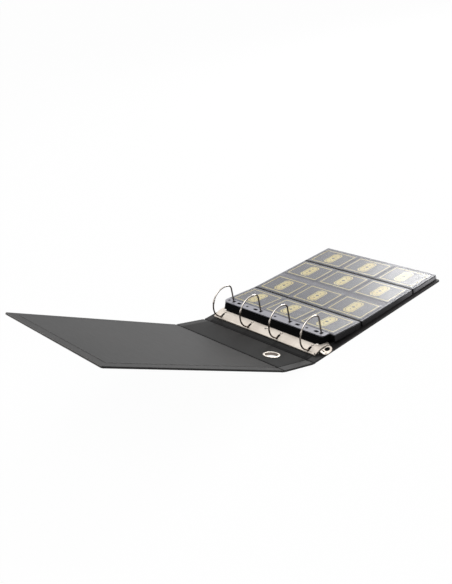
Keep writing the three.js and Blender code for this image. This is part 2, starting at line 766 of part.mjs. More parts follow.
// The second leaf and the pile below it
const stations = [stripLeft, pileTouchdown, innerSlit, leafRight];
const topOfLeaf = (x) =>
  x < innerSlit ? slitHeight + (innerSlit - x) * slopeIn : slitHeight - (x - innerSlit) * slopeOut;
const firstUnder = stations.map((x) => topOfLeaf(x) - pocketStack - leafSeat);
const secondTop = firstUnder.map((z) => z - touchGap);
const secondUnder = secondTop.map((z) => z - secondLeafThickness);
pileLeaf(binder, "leaf_2", stations, secondTop, secondUnder);
const pileTop = secondUnder.map((z) => z - touchGap);
const pileUnder = stations.map((x) => (x === stripLeft ? pileStripHeight : liningTop + touchGap));
for (let i = 0; i < pileLeaves; i++) {
  const share = (gaps) => (z, k) => {
    const each = (pileTop[k] - pileUnder[k] - (pileLeaves - 1) * touchGap) / pileLeaves;
    return pileTop[k] - i * (each + touchGap) - (gaps ? each : 0);
  };
  pileLeaf(binder, "leaf_" + (i + 3), stations, stations.map(share(false)), stations.map(share(true)));
}

export default binder;
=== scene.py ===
# A ring binder for trading cards, lying open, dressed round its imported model.
# Shapes are made in millimetres and turned into metres when a piece is made. +Z is up.
import json
import math

import bmesh
import bpy
from mathutils import Matrix, Vector

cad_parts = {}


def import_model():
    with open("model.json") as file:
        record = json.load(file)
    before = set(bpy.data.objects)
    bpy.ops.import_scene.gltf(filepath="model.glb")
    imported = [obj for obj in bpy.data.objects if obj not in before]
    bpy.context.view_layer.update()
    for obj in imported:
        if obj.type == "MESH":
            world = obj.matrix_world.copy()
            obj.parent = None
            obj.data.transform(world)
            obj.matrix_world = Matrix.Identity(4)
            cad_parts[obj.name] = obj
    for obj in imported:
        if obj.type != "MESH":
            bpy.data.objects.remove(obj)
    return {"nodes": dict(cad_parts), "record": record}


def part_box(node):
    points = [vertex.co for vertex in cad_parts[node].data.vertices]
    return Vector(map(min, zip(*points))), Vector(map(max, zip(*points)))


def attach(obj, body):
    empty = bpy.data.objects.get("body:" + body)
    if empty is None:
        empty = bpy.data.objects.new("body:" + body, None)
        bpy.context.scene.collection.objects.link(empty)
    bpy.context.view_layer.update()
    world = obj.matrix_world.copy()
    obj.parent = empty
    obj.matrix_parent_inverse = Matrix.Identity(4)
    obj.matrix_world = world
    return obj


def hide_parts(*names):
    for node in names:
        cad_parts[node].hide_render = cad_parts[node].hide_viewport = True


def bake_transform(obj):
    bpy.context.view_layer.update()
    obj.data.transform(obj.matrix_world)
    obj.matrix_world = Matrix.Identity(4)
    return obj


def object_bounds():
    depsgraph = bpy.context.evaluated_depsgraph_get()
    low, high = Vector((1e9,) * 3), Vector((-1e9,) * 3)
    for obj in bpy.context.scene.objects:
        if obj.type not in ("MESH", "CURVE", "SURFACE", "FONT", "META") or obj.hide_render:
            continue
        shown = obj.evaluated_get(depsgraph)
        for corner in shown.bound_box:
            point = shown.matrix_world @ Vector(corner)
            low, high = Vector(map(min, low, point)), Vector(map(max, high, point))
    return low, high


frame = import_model()
CAD_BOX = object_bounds()

MM = 0.001
TAU = 2 * math.pi


def box_mm(node):
    """The lowest and highest corner of a node, in millimetres."""
    low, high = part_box(node)
    return low / MM, high / MM


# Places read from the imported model
JOINTS = {joint["name"]: joint for joint in frame["record"]["behaviour"]["joints"]}
BACK_HIGH = box_mm("back_wrap")[1]
HOUSING_LOW, HOUSING_HIGH = box_mm("ring_housing")
LEVER_LOW, LEVER_HIGH = box_mm("opening_lever")
PIN_LOW, PIN_HIGH = box_mm("lever_pin")
HINGE_X, _, HINGE_Z = Vector(JOINTS["spine_fold"]["pos_m"]) / MM
HALF_HEIGHT = BACK_HIGH.y
COVER_WIDTH = BACK_HIGH.x - HINGE_X
HOUSING_X = (HOUSING_LOW.x + HOUSING_HIGH.x) / 2
HOUSING_HALF = (HOUSING_HIGH.x - HOUSING_LOW.x) / 2
RINGS = [sum(c.y for c in box_mm(f"ring_{i}_right")) / 2 for i in (1, 2, 3, 4)]
WIRE = 1.5
WIRE_STEP = 1.2
LEG_X = box_mm("ring_1_right")[1].x - WIRE
PIN = (PIN_LOW + PIN_HIGH) / 2
ALONG_X = Matrix.Rotation(math.pi / 2, 4, "Y")

# The coat of cards and sheets
COAT = {"Coat_Roughness": 0.28, "Coat_IOR": 1.62}

# Square millimetres; larger faces are shaded flat
LARGE_FACE = 400

# The case
SPINE_PITCH = 71
SPINE_FOLD = math.radians(-JOINTS["spine_fold"]["range_deg"][0])
COVER_FOLD = math.radians(JOINTS["cover_fold"]["range_deg"][1])
GROOVE_HALF = 5
WRAP = 0.5
WRAP_TOP = BACK_HIGH.z
TURN_IN = 20
TURN_IN_UNDER = WRAP_TOP - 0.4
CASE_EDGE = 0.9
CORNER = 4
LINING_INSET = 17
LINING_CORNER = 2
LINING_LOW = WRAP_TOP + 0.02
LINING_HIGH = box_mm("back_lining")[1].z - 0.25
FINGER_HOLE = 12
FINGER_FLANGE = 15.5
FINGER_PLACE = Vector((-SPINE_PITCH / 2, -HALF_HEIGHT + 69, 0))

# The rings
ARCH_X = LEG_X - 17.8
ARCH_Z = 30.6
ARCH = 34
BEND = 9
HEEL = 24
SPLIT = 152
HEEL_END = 250
FOOT_Z = 5.6

# The housing and the lever
SHEET = 1.2
CROWN = HOUSING_HIGH.z
SHOULDER = 6.4
RISE = CROWN - SHOULDER
HOUSING_RADIUS = (HOUSING_HALF ** 2 + RISE ** 2) / (2 * RISE)
SLOT_HALF = 2.8
HEEL_SLOT = (LEG_X - 39.8, LEG_X - 27.8)
LEG_SLOT = (LEG_X - 1.8, LEG_X + 2.3)
NECK_HALF = 15
END_CUT = 2.5
DOME_OFFSET = 24
RIVET_FROM_NEAR = 14
RIVET_FROM_FAR = 12

# Cutters reach this far past what they cut, and above every leaf
BEYOND = 9
TALL = 60

# The leaves
HALF_LEAF = 144
STRIP_EDGE = -9.7
STRIP_NEAR_CORNER = 6
STRIP_FAR_CORNER = 13
FOLD = 8.5
SLIT_1 = 78.1
SLIT_2 = 227.9
LEAF_END = 302
SLIT_HALF = 2.4
NOTCH = 1.5
TOUCHDOWN = 64.5
PILE_LEAN = 11
FOLD_GAP = 0.4
FILM_GAP = 0.06
OUTER_SLOPE = math.radians(1)
INNER_SLOPE = math.radians(5.8)
SHEET_HIGH = 0.4
LINE_HIGH = 0.38
STACK = 1.7
SECOND_STACK = 1.5
SECOND_DROP = SECOND_STACK + 0.32
END_HEIGHT = 13.6
SLIT_HEIGHT = END_HEIGHT + (LEAF_END - SLIT_1) * math.tan(OUTER_SLOPE)
FOLD_HEIGHT = SLIT_HEIGHT + (SLIT_1 - FOLD) * math.tan(INNER_SLOPE) - STACK / math.cos(INNER_SLOPE)
COLUMNS = (41.7, 114.5, 191.5, 264.3)
ROWS = (-94.4, 0, 94.4)
CARD = (63, 88)
CARD_LOW = SHEET_HIGH + 0.15
POCKET = (64, 90)
SLOT_HOLES = (12.5, 60.1, 175.1, 223.8)
ROUND_HOLES = (36.5, 120, 199.3, 254)
STRIP_STEP = 12
STATIONS = (STRIP_EDGE, TOUCHDOWN, SLIT_1, LEAF_END)

# The frames of the turned parts
ROTATE_SPINE = Matrix.Translation((HINGE_X, 0, HINGE_Z)) @ Matrix.Rotation(SPINE_FOLD, 4, "Y")
ROTATE_FRONT = ROTATE_SPINE @ Matrix.Translation((-SPINE_PITCH, 0, 0)) @ Matrix.Rotation(COVER_FOLD, 4, "Y")
TO_UNDERSIDE = Matrix.Translation((0, 0, -HINGE_Z))
BACK = Matrix.Translation((HINGE_X, 0, 0))
SPINE = ROTATE_SPINE @ TO_UNDERSIDE
FRONT = ROTATE_FRONT @ TO_UNDERSIDE
INNER = Matrix.Translation((LEG_X + FOLD, 0, FOLD_HEIGHT)) @ Matrix.Rotation(INNER_SLOPE, 4, "Y")
OUTER = Matrix.Translation((LEG_X + SLIT_1, 0, SLIT_HEIGHT - STACK)) @ Matrix.Rotation(OUTER_SLOPE, 4, "Y")
INNER_END = (SLIT_1 - FOLD) / math.cos(INNER_SLOPE) - SLIT_HALF
OUTER_END = LEAF_END - SLIT_1


# Camera
def linked(name, data):
    """An object in the scene."""
    obj = bpy.data.objects.new(name, data)
    bpy.context.scene.collection.objects.link(obj)
    return obj


def photo_camera():
    """The photograph's viewpoint: its place, heading, pitch and roll."""
    place = Matrix.Translation((-0.95672, -1.02621, 0.71673))
    heading, pitch, roll = math.radians(35.583), math.radians(25.2265), math.radians(-11.54)
    level = Matrix.Rotation(-heading, 4, "Z") @ Matrix.Rotation(math.pi / 2 - pitch, 4, "X")
    focal_pixels, image_height = 788.529, 584
    data = bpy.data.cameras.new("camera")
    data.sensor_width = 36
    data.lens = focal_pixels * data.sensor_width / image_height
    camera = linked("camera", data)
    camera.matrix_world = place @ level @ Matrix.Rotation(roll, 4, "Z")
    bpy.context.scene.camera = camera


photo_camera()
bpy.context.scene.view_settings.view_transform = "Standard"


# Node materials
class Tree:
    """The nodes of a material or a world."""

    def __init__(self, owner):
        owner.use_nodes = True
        self.nodes, self.links = owner.node_tree.nodes, owner.node_tree.links

    def node(self, kind, source=None, **values):
        """A node with these values on its inputs, and the source on its first one."""
        made = self.nodes.new(kind)
        for key, value in values.items():
            made.inputs[key.replace("_", " ")].default_value = value
        if source is not None:
            self.links.new(source, made.inputs[0])
        return made

    def math(self, operation, source):
        """A calculation with the source, and its second input."""
        made = self.node("ShaderNodeMath", source)
        made.operation = operation
        return made, made.inputs[1]


class Paint(Tree):
    """A node material built round one shader."""

    def __init__(self, name, roughness, metallic=0.0):
        self.material = bpy.data.materials.new(name)
        super().__init__(self.material)
        self.shader = self.nodes["Principled BSDF"]
        self.set(Roughness=roughness, Metallic=metallic)
        self.place = self.node("ShaderNodeTexCoord").outputs["Object"]

    def set(self, **values):
        """Constants on the shader's own sockets."""
        for key, value in values.items():
            self.shader.inputs[key.replace("_", " ")].default_value = value

    def stretched(self, x, y, z):
        return self.node("ShaderNodeMapping", self.place, Scale=(x, y, z)).outputs["Vector"]

    def noise(self, scale, detail, place=None):
        made = self.node("ShaderNodeTexNoise", place or self.place, Scale=scale, Detail=detail)
        return made.outputs["Fac"]

    def shades(self, factor, *stops):
        """The base colour, by stops of (position, colour code, share of it) along the factor."""
        made = self.node("ShaderNodeValToRGB", factor)
        elements = made.color_ramp.elements
        while len(elements) < len(stops):
            elements.new(0.5)
        for element, (position, *colour) in zip(elements, stops):
            element.position = position
            element.color = (*srgb(*colour), 1)
        self.links.new(made.outputs["Color"], self.shader.inputs["Base Color"])

    def roughness(self, factor, low, high):
        made = self.node("ShaderNodeMapRange", factor, To_Min=low, To_Max=high)
        self.links.new(made.outputs["Result"], self.shader.inputs["Roughness"])

    def bump(self, *layers):
        """Layers of (height, strength, distance in millimetres), one over the other."""
        normal = None
        for height, strength, distance in layers:
            made = self.node("ShaderNodeBump", Strength=strength, Distance=distance * MM)
            self.links.new(height, made.inputs["Height"])
            if normal is not None:
                self.links.new(normal, made.inputs["Normal"])
            normal = made.outputs["Normal"]
        self.links.new(normal, self.shader.inputs["Normal"])


def srgb(code, share=1):
    """A colour code as linear red, green and blue, or a share of it."""
    parts = [int(code[i:i + 2], 16) / 255 for i in (0, 2, 4)]
    return [share * (c / 12.92 if c < 0.04045 else ((c + 0.055) / 1.055) ** 2.4) for c in parts]


def cover_skin():
    """Black embossed paper over board: fine pebbled grain, slightly worn."""
    paint = Paint("cover_skin", 0.55)
    grain = paint.node("ShaderNodeTexVoronoi", paint.place, Scale=1300).outputs["Distance"]
    fibre = paint.noise(420, 6)
    cloud = paint.noise(9, 3)
    paint.shades(cloud, (0.3, "1a1919"), (0.7, "212020"))
    paint.roughness(fibre, 0.48, 0.68)
    paint.bump((cloud, 0.08, 1.0), (grain, 0.2, 0.08), (fibre, 0.12, 0.04))
    paint.set(Specular_IOR_Level=0.26)
    return paint.material


def speckled(
    name, roughness, scale, detail, *stops, metallic=0.0, spread=None, relief=None, fine=None, **values
):
    """One noise gives the colour, spread of roughness and relief; fine is a relief with its own noise."""
    paint = Paint(name, roughness, metallic)
    speck = paint.noise(scale, detail)
    paint.shades(speck, *stops)
    if spread:
        paint.roughness(speck, *spread)
    layers = [(speck, *relief)] if relief else []
    if fine:
        layers.append((paint.noise(*fine[:2]), *fine[2:]))
    if layers:
        paint.bump(*layers)
    paint.set(**values)
    return paint.material


def lining_paper(name, shine):
    """Smooth satin black lining with a fine felt of fibres."""
    paint = Paint(name, 0.45)
    felt = paint.noise(900, 5)
    long_fibre = paint.noise(260, 4, paint.stretched(1, 0.16, 1))
    cloud = paint.noise(6, 2)
    paint.shades(cloud, (0.3, "191919"), (0.7, "201f1f"))
    paint.roughness(long_fibre, 0.44, 0.50)
    paint.bump((cloud, 0.06, 1.2), (felt, 0.08, 0.03), (long_fibre, 0.04, 0.03))
    paint.set(Specular_IOR_Level=shine)
    return paint.material


def nickel(name, dark, light, low, high):
    """Bright nickel plate, faintly uneven, with fine rub marks."""
    paint = Paint(name, low, 1.0)
    cloud = paint.noise(60, 3)
    rub = paint.noise(500, 3, paint.stretched(1, 0.05, 0.4))
    paint.shades(cloud, (0.35, dark), (0.65, light))
    paint.roughness(rub, low, high)
    paint.bump((rub, 0.04, 0.02))
    return paint.material


def ring_wire():
    """Polished wire with a painted highlight on its upper side and painted shade below."""
    paint = Paint("ring_nickel", 0.08, 1.0)
    painted_light_facing = paint.node("ShaderNodeVectorMath", paint.node("ShaderNodeNewGeometry").outputs["Normal"])
    painted_light_facing.operation = "DOT_PRODUCT"
    painted_light_facing.inputs[1].default_value = (-0.2, -0.3, 0.93)
    # Painted highlight and painted shade: the colour follows how far each face turns toward one fixed
    # direction.
    paint.shades(
        painted_light_facing.outputs["Value"], (0.0, "4a4440"), (0.4, "6e665f"), (0.75, "a59d95"), (0.95, "ebe5df"),
    )
    rub = paint.noise(500, 3)
    paint.roughness(rub, 0.05, 0.11)
    paint.bump((rub, 0.05, 0.01))
    return paint.material


def leaf_edge():
    """The cut edges of film and sleeve: black near the rings, with a painted sheen that grows paler towards
    the free edge.
    """
    paint = Paint("leaf_edge", 0.5)
    apart = paint.node("ShaderNodeSeparateXYZ", paint.place)
    low, high = (LEG_X + SLIT_1) * MM, (LEG_X + LEAF_END) * MM
    across = paint.node("ShaderNodeMapRange", apart.outputs["X"], From_Min=low, From_Max=high)
    # Painted sheen: the colour pales with distance along X, toward the free edge.
    paint.shades(
        across.outputs["Result"], (0.0, "302f30"), (0.45, "5c5b5d"), (0.68, "9b9a9e"), (0.92, "dadadd"),
    )
    paint.set(Specular_IOR_Level=0.12)
    paint.bump((paint.noise(1500, 3, paint.stretched(0.2, 1, 1)), 0.3, 0.05))
    return paint.material


def pocket_sheet(name, coat):
    """Black plastic sheet with a fine matt emboss and a soft shine."""
    return speckled(
        name, 0.38, 30, 1, (0.35, "0f0f10"), (0.65, "18181a"), spread=(0.34, 0.46), relief=(0.10, 0.3),
        fine=(300, 1, 0.08, 0.03), Specular_IOR_Level=0.2, Coat_Weight=coat, **COAT,
    )


def clear_film(name, alpha, code):
    """Clear pocket film, slightly milky and rippled; its pale grey is partly milky haze and partly a painted
    sheen. Its gloss is the coat of the sheets below.
    """
    return speckled(
        name, 0.24, 30, 1, (0.3, code, 0.95), (0.7, code), spread=(0.24, 0.28), fine=(9, 1, 0.08, 0.6),
        Alpha=alpha, Specular_IOR_Level=0.05,
    )


def card_print(name, dark, light, roughness, metallic=0.0, coat=1.0):
    """Coated card stock or foil, with a faint tooth. Without a coat it is a satin metal."""
    return speckled(
        name, roughness, 45, 1, (0.3, dark), (0.7, light), metallic=metallic, relief=(0.03, 0.05),
        spread=(roughness - 0.03, roughness + 0.03), Coat_Weight=coat, **COAT,
    )


SKIN = cover_skin()
# The same paper, lighter on the rounded edges: partly rubbed wear, partly a painted highlight where the edges
# catch the light
WEAR_AND_HIGHLIGHT = speckled(
    "worn_skin_and_highlight", 0.42, 240, 5, (0.35, "3c3939"), (0.65, "5c5856"), spread=(0.34, 0.5), relief=(0.2, 0.06),
)
# Two copies of one lining paper: more shine on the front cover, less on the spine and back cover, which reads
# darker: a painted sheen and painted shade
LINING = lining_paper("lining_paper", 0.155)
SHADED_LINING = lining_paper("lining_painted_shade", 0.06)
# Recycled board: warm grey with specks
BOARD = speckled(
    "greyboard", 0.9, 700, 6, (0.3, "5f584d"), (0.5, "8a8172"), (0.72, "a39a8a"), relief=(0.5, 0.15),
)
PLATE = nickel("plated_sheet", "d8cfc5", "e1d9cf", 0.50, 0.60)
# Near-black steel under the housing's arch, round its domes and stud, and on the carriers seen through the
# slots: painted shade
SHADE_STEEL = card_print("steel_painted_shade", "0d0c0b", "171513", 0.55, 0.6, 0)
BRIGHT = nickel("bright_nickel", "cfc7be", "e6e0d8", 0.10, 0.20)
SATIN = card_print("satin_nickel", "cbc4bc", "dad3cb", 0.42, 1.0, 0)
# Darker nickel for the outer finger ring, whose barrel lines the hole: painted shade
SHADED_NICKEL = card_print("nickel_painted_shade", "7b726b", "92887f", 0.45, 1.0, 0)
CHROME = ring_wire()
POCKET_SHEET = pocket_sheet("pocket_sheet", 0)
BACKING = pocket_sheet("backing_sheet", 1.0)
# Black plastic, duller and darker than the sheets, in the slits, under the strip and on the pile's wall below
# it: partly the sheets' own black, partly painted shade
SLIT_SHADE = speckled("slit_painted_shade", 0.85, 900, 3, (0.35, "060606"), (0.65, "0c0c0d"), Specular_IOR_Level=0.05)
LEAF_EDGE = leaf_edge()
# Black strip plastic, painted soft grey: a painted sheen
STRIP_SHEET = speckled(
    "strip_sheet", 0.30, 26, 1, (0.3, "88878f"), (0.7, "94939b"), spread=(0.30, 0.38), relief=(0.06, 0.3),
    fine=(900, 1, 0.05, 0.02),
)
# Pale grey film over the pockets, paler and more opaque on the welded bands: partly milky haze, partly a
# painted sheen
FILM = clear_film("clear_film", 0.15, "a6a6ae")
WELDED = clear_film("welded_film", 0.30, "b4b4bc")
CARD_FACE = card_print("card_face", "18181b", "222226", 0.42)
GOLD = card_print("gold_foil", "e6cf72", "f3e28e", 0.40)


# Mesh helpers, in millimetres
def skinned(rings):
    """A closed mesh over rings of places, with flat ends."""
    made = bmesh.new()
    rows = [[made.verts.new(place) for place in ring] for ring in rings]
    made.faces.new(rows[0][::-1])
    made.faces.new(rows[-1])
    for a, b in zip(rows, rows[1:]):
        for i in range(len(a)):
            k = (i + 1) % len(a)
            made.faces.new((a[i], a[k], b[k], b[i]))
    bmesh.ops.recalc_face_normals(made, faces=made.faces)
    return made


def prism(outline, z0, z1):
    """A closed outline in X and Y, from z0 up to z1."""
    return skinned([[(x, y, z) for x, y in outline] for z in (z0, z1)])


def along_y(profile, y0, y1):
    """A closed profile in X and Z, pushed from y0 to y1."""
    return skinned([[(x, y, z) for x, z in profile] for y in (y0, y1)])


def circle(x, y, radius, steps):
    return [
        (x + radius * math.cos(TAU * i / steps), y + radius * math.sin(TAU * i / steps)) for i in range(steps)
    ]


def lathe(profile, steps, closed=True):
    """A profile of (radius, z) turned about Z: a closed ring, or open with both ends on the axis."""
    made = bmesh.new()
    rings = []
    for radius, z in profile:
        places = circle(0, 0, radius, steps) if radius else [(0, 0)]
        rings.append([made.verts.new((x, y, z)) for x, y in places])
    for a, b in zip(rings, rings[1:] + (rings[:1] if closed else [])):
        for i in range(steps):
            k = (i + 1) % steps
            if len(a) == 1:
                made.faces.new((a[0], b[i], b[k]))
            elif len(b) == 1:
                made.faces.new((a[i], a[k], b[0]))
            else:
                made.faces.new((a[i], a[k], b[k], b[i]))
    bmesh.ops.recalc_face_normals(made, faces=made.faces)
    return made


def sweep(path, radii, sides=20):
    """A round bar along points that don't run along Y, with a radius at each point and flat ends."""
    rings = []
    for i, point in enumerate(path):
        along = (path[min(i + 1, len(path) - 1)] - path[max(i - 1, 0)]).normalized()
        across = Vector((0, 1, 0))
        across = (across - along * across.dot(along)).normalized()
        other = along.cross(across)
        rings.append([point + (across * x + other * y) * radii[i] for x, y in circle(0, 0, 1, sides)])
    return skinned(rings)


def rounded(x0, y0, x1, y1, radii=(0,) * 4, steps=6):
    """A rectangle's outline; radii are for the near left, near right, far right and far left corners."""
    corners = ((x0, y0, 1, 1, 180), (x1, y0, -1, 1, 270), (x1, y1, -1, -1, 0), (x0, y1, 1, -1, 90))
    outline = []
    for (x, y, sx, sy, start), radius in zip(corners, radii):
        if radius <= 0:
            outline.append((x, y))
            continue
        for angle in [math.radians(start + 90 * i / steps) for i in range(steps + 1)]:
            outline.append((x + radius * (sx + math.cos(angle)), y + radius * (sy + math.sin(angle))))
    return outline


def slot(x0, y0, x1, y1):
    """A slot's outline, with fully round ends."""
    radius = min(x1 - x0, y1 - y0) / 2 - 0.001
    return rounded(x0, y0, x1, y1, (radius,) * 4)


def joined(*bodies):
    """Several meshes as one."""
    made = bodies[0]
    for body in bodies[1:]:
        data = bpy.data.meshes.new("part")
        body.to_mesh(data)
        body.free()
        made.from_mesh(data)
        bpy.data.meshes.remove(data)
    return made


def moved(body, matrix):
    bmesh.ops.transform(body, matrix=matrix, verts=body.verts)
    return body


def painted(body, index):
    for face in body.faces:
        face.material_index = index
    return body


def loose(body, name):
    data = bpy.data.meshes.new(name)
    body.to_mesh(data)
    body.free()
    return linked(name, data)


def carved(body, *tools, operation="DIFFERENCE"):
    """The body with the tools cut away from it, or joined to it."""
    target = loose(body, "target")
    tool = loose(joined(*tools), "tool")
    cut = target.modifiers.new("cut", "BOOLEAN")
    cut.object = tool
    cut.operation = operation
    cut.solver = "EXACT"
    bpy.context.view_layer.update()
    done = target.evaluated_get(bpy.context.evaluated_depsgraph_get())
    made = bmesh.new()
    made.from_mesh(done.to_mesh())
    done.to_mesh_clear()
    for obj in (target, tool):
        data = obj.data
        bpy.data.objects.remove(obj)
        bpy.data.meshes.remove(data)
    return made


def softened(body, width, segments, sharper_than, keep=None):
    """The body with its sharp edges rounded. keep(edge) leaves an edge as it is."""
    edges = [
        edge for edge in body.edges
        if len(edge.link_faces) == 2 and math.degrees(edge.calc_face_angle(0)) > sharper_than
        and not (keep and keep(edge))
    ]
    bmesh.ops.bevel(
        body, geom=edges, offset=width, segments=segments, profile=0.5, affect="EDGES", clamp_overlap=True,
    )
    return body


def piece(name, body, rides, paints, nodes=(), matrix=None):
    """A named piece from a mesh in millimetres."""
    sharp = math.radians(38)
    if matrix is not None:
        moved(body, matrix)
    moved(body, Matrix.Scale(MM, 4))
    bmesh.ops.recalc_face_normals(body, faces=body.faces)
    for face in body.faces:
        face.smooth = face.calc_area() < LARGE_FACE * MM * MM
    for edge in body.edges:
        if len(edge.link_faces) == 2 and edge.calc_face_angle(0) > sharp:
            edge.smooth = False
    obj = loose(body, name)
    for paint in paints:
        obj.data.materials.append(paint)
    if nodes:
        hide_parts(*nodes)
    if rides:
        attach(obj, rides)
    return obj


def repaint(node, paint):
    """A node keeps its mesh and takes a finish."""
    obj = frame["nodes"][node]
    for place in obj.material_slots:
        place.material = paint
    if not obj.material_slots:
        obj.data.materials.append(paint)


# The case
def case_panel(name, rides, matrix, x0, x1, hinge_sides, hole=None):
    """One panel: its lining, and its wrap, a shell round the board that is open at its hinge sides."""
    def outline(inset, past, radius):
        """The panel's outline, this far in from its outer edges and this far past its hinge sides."""
        left = x0 - past if x0 in hinge_sides else x0 + inset
        right = x1 + past if x1 in hinge_sides else x1 - inset
        radii = [0 if x in hinge_sides else radius for x in (x0, x1, x1, x0)]
        return rounded(left, -HALF_HEIGHT + inset, right, HALF_HEIGHT - inset, radii)

    def at_hinge(edge):
        return all(any(abs(v.co.x - x) < 0.01 for x in hinge_sides) for v in edge.verts)

    shell = softened(prism(outline(0, 0, CORNER), 0, WRAP_TOP), CASE_EDGE, 4, 40, at_hinge)
    shell = carved(shell, prism(outline(WRAP, 1, CORNER - WRAP), WRAP, TURN_IN_UNDER))
    shell = carved(shell, prism(outline(TURN_IN, 1, 0), TURN_IN_UNDER - 1, WRAP_TOP + 1))
    sheet = prism(outline(LINING_INSET, 0, LINING_CORNER), LINING_LOW, LINING_HIGH)
    sheet = softened(sheet, 0.16, 2, 40, at_hinge)
    if hole:
        shell, sheet = (carved(body, prism(hole, -5, WRAP_TOP + 5)) for body in (shell, sheet))
    for body in (shell, sheet):
        # Lighter rounded edges at the panel's ends and round the lining: partly wear, partly a painted
        # highlight.
        for face in body.faces:
            at_end = abs(face.normal.x) > abs(face.normal.y) or body is sheet
            face.material_index = 1 if at_end and 0.15 < abs(face.normal.z) < 0.95 else 0
    # The spine and back cover take the copy with less shine: painted shade
    lining = LINING if name == "front" else SHADED_LINING
    piece(name + "_cover_skin", shell, rides, [SKIN, WEAR_AND_HIGHLIGHT], [name + "_wrap"], matrix)
    repaint(name + "_board", BOARD)
    piece(name + "_lining_sheet", sheet, rides, [lining, WEAR_AND_HIGHLIGHT], [name + "_lining"], matrix)


def smooth(t):
    t = min(max(t, 0), 1)
    return t * t * (3 - 2 * t)


def groove(s, high, low, flat=1.5, rise=3.3):
    """A height across a hinge line: high at the boards' edges, low between them."""
    return low + (high - low) * smooth((abs(s) - flat) / rise)


def hinge_strip(name, near, far, upper, lower, span, y_half, paint):
    """A strip of sheet across a hinge line, from the fixed side's frame to the moving side's."""
    count = 40
    stations = [span[0] + (span[1] - span[0]) * i / count for i in range(count + 1)]

    def placed(s, z):
        weight = smooth((GROOVE_HALF - s) / (2 * GROOVE_HALF))
        point = (near @ Vector((s, 0, z))).lerp(far @ Vector((s, 0, z)), weight)
        return point.x, point.z

    profile = [placed(s, upper(s)) for s in stations] + [placed(s, lower(s)) for s in reversed(stations)]
    body = softened(along_y(profile, -y_half, y_half), 0.12, 1, 60)
    made = piece(name, body, None, [paint])
    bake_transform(made)


def case():
    case_panel("back", "back_cover", BACK, GROOVE_HALF, COVER_WIDTH, [GROOVE_HALF])
    case_panel("front", "front_cover", FRONT, -COVER_WIDTH, -GROOVE_HALF, [-GROOVE_HALF])
    hole = circle(FINGER_PLACE.x, FINGER_PLACE.y, FINGER_HOLE + 1.8, 48)
    spine_from, spine_to = -SPINE_PITCH + GROOVE_HALF, -GROOVE_HALF
    case_panel("spine", "spine", SPINE, spine_from, spine_to, [spine_from, spine_to], hole)
    at_front = SPINE @ Matrix.Translation((-SPINE_PITCH, 0, 0))
    lap = 9.5

    def overlap(s):
        return 0.42 * smooth((s - GROOVE_HALF + 1.2) / 1.4)

    hinges = (
        ("spine_hinge", "back_cover", "spine", BACK, SPINE, lap, 3.1),
        ("cover_hinge", "spine", "front_cover", at_front, FRONT, 0, 2.2),
    )
    for name, body_a, body_b, near, far, extra, low in hinges:
        lapped = overlap if extra else (lambda s: 0)
        hinge_strip(
            name + "_skin", near, far,
            lambda s: groove(s, WRAP_TOP, min(2.4, low), 0.5, 1.6), lambda s: groove(s, 0, 0.35),
            (-GROOVE_HALF, GROOVE_HALF), HALF_HEIGHT, SKIN,
        )
        hinge_strip(
            name + "_lining", near, far,
            lambda s: groove(s, LINING_HIGH, low, 0.5, 1.3) + lapped(s),
            lambda s: groove(s, LINING_LOW, low - 0.4, 0.5, 1.3) + lapped(s),
            (-GROOVE_HALF, GROOVE_HALF + extra), HALF_HEIGHT - LINING_INSET, SHADED_LINING,
        )


def finger_ring():
    """Two flanged rings, pressed together through the spine."""
    place = SPINE @ Matrix.Translation(FINGER_PLACE)
    hole, flange, rim, low, high = FINGER_HOLE, FINGER_FLANGE, 0.28, -0.9, 5.1
    outer = lathe([
        (hole, 4.0), (hole, low + 0.5), (hole + 0.15, low + 0.15), (hole + 0.5, low), (flange - rim, low),
        (flange - 0.05, low + 0.1), (flange, low + rim), (flange - 0.05, low + 0.5),
        (flange - rim, low + 0.58), (hole + 0.6, low + 0.6), (hole + 0.6, 4.0),
    ], 96)
    # The barrel inside the hole is darker nickel: painted shade
    piece("finger_ring_outer", outer, "spine", [SHADED_NICKEL], ["thumb_ring_outer"], place)
    inner = lathe([
        (hole, high - 0.55), (hole + 0.05, high - 0.3), (hole + 0.35, high - 0.06), (hole + 0.9, high),
        (flange - 1.2, high - 0.08), (flange - 0.25, high - 0.28), (flange, high - 0.5),
        (flange - 0.1, high - 0.58), (hole + 1.5, high - 0.6), (hole + 1.5, 0.9), (hole + 0.9, 0.9),
        (hole + 0.9, 4.25), (hole, 4.3),
    ], 96)
    piece("finger_ring_inner", inner, "spine", [SATIN], ["thumb_ring_inner"], place)


# The ring mechanism
def arch_height(offset, radius=HOUSING_RADIUS):
    return CROWN - HOUSING_RADIUS + math.sqrt(radius ** 2 - offset ** 2)


def arch_profile(half, radius, foot, steps=36):
    offsets = [-half + 2 * half * i / steps for i in range(steps + 1)]
    points = [(HOUSING_X + offset, arch_height(offset, radius)) for offset in offsets]
    return [(HOUSING_X - half, foot), *points, (HOUSING_X + half, foot)]


def bump_on_arch(x, y, radius, height):
    """A small stamped dome standing on the housing."""
    turns = [math.radians(15 * i) for i in range(1, 7)]
    dome = [(radius * math.sin(a), height * math.cos(a)) for a in turns]
    profile = [(0, height), *dome, (radius, -0.5), (0, -0.5)]
    return moved(lathe(profile, 20, False), Matrix.Translation((x, y, arch_height(x - HOUSING_X))))


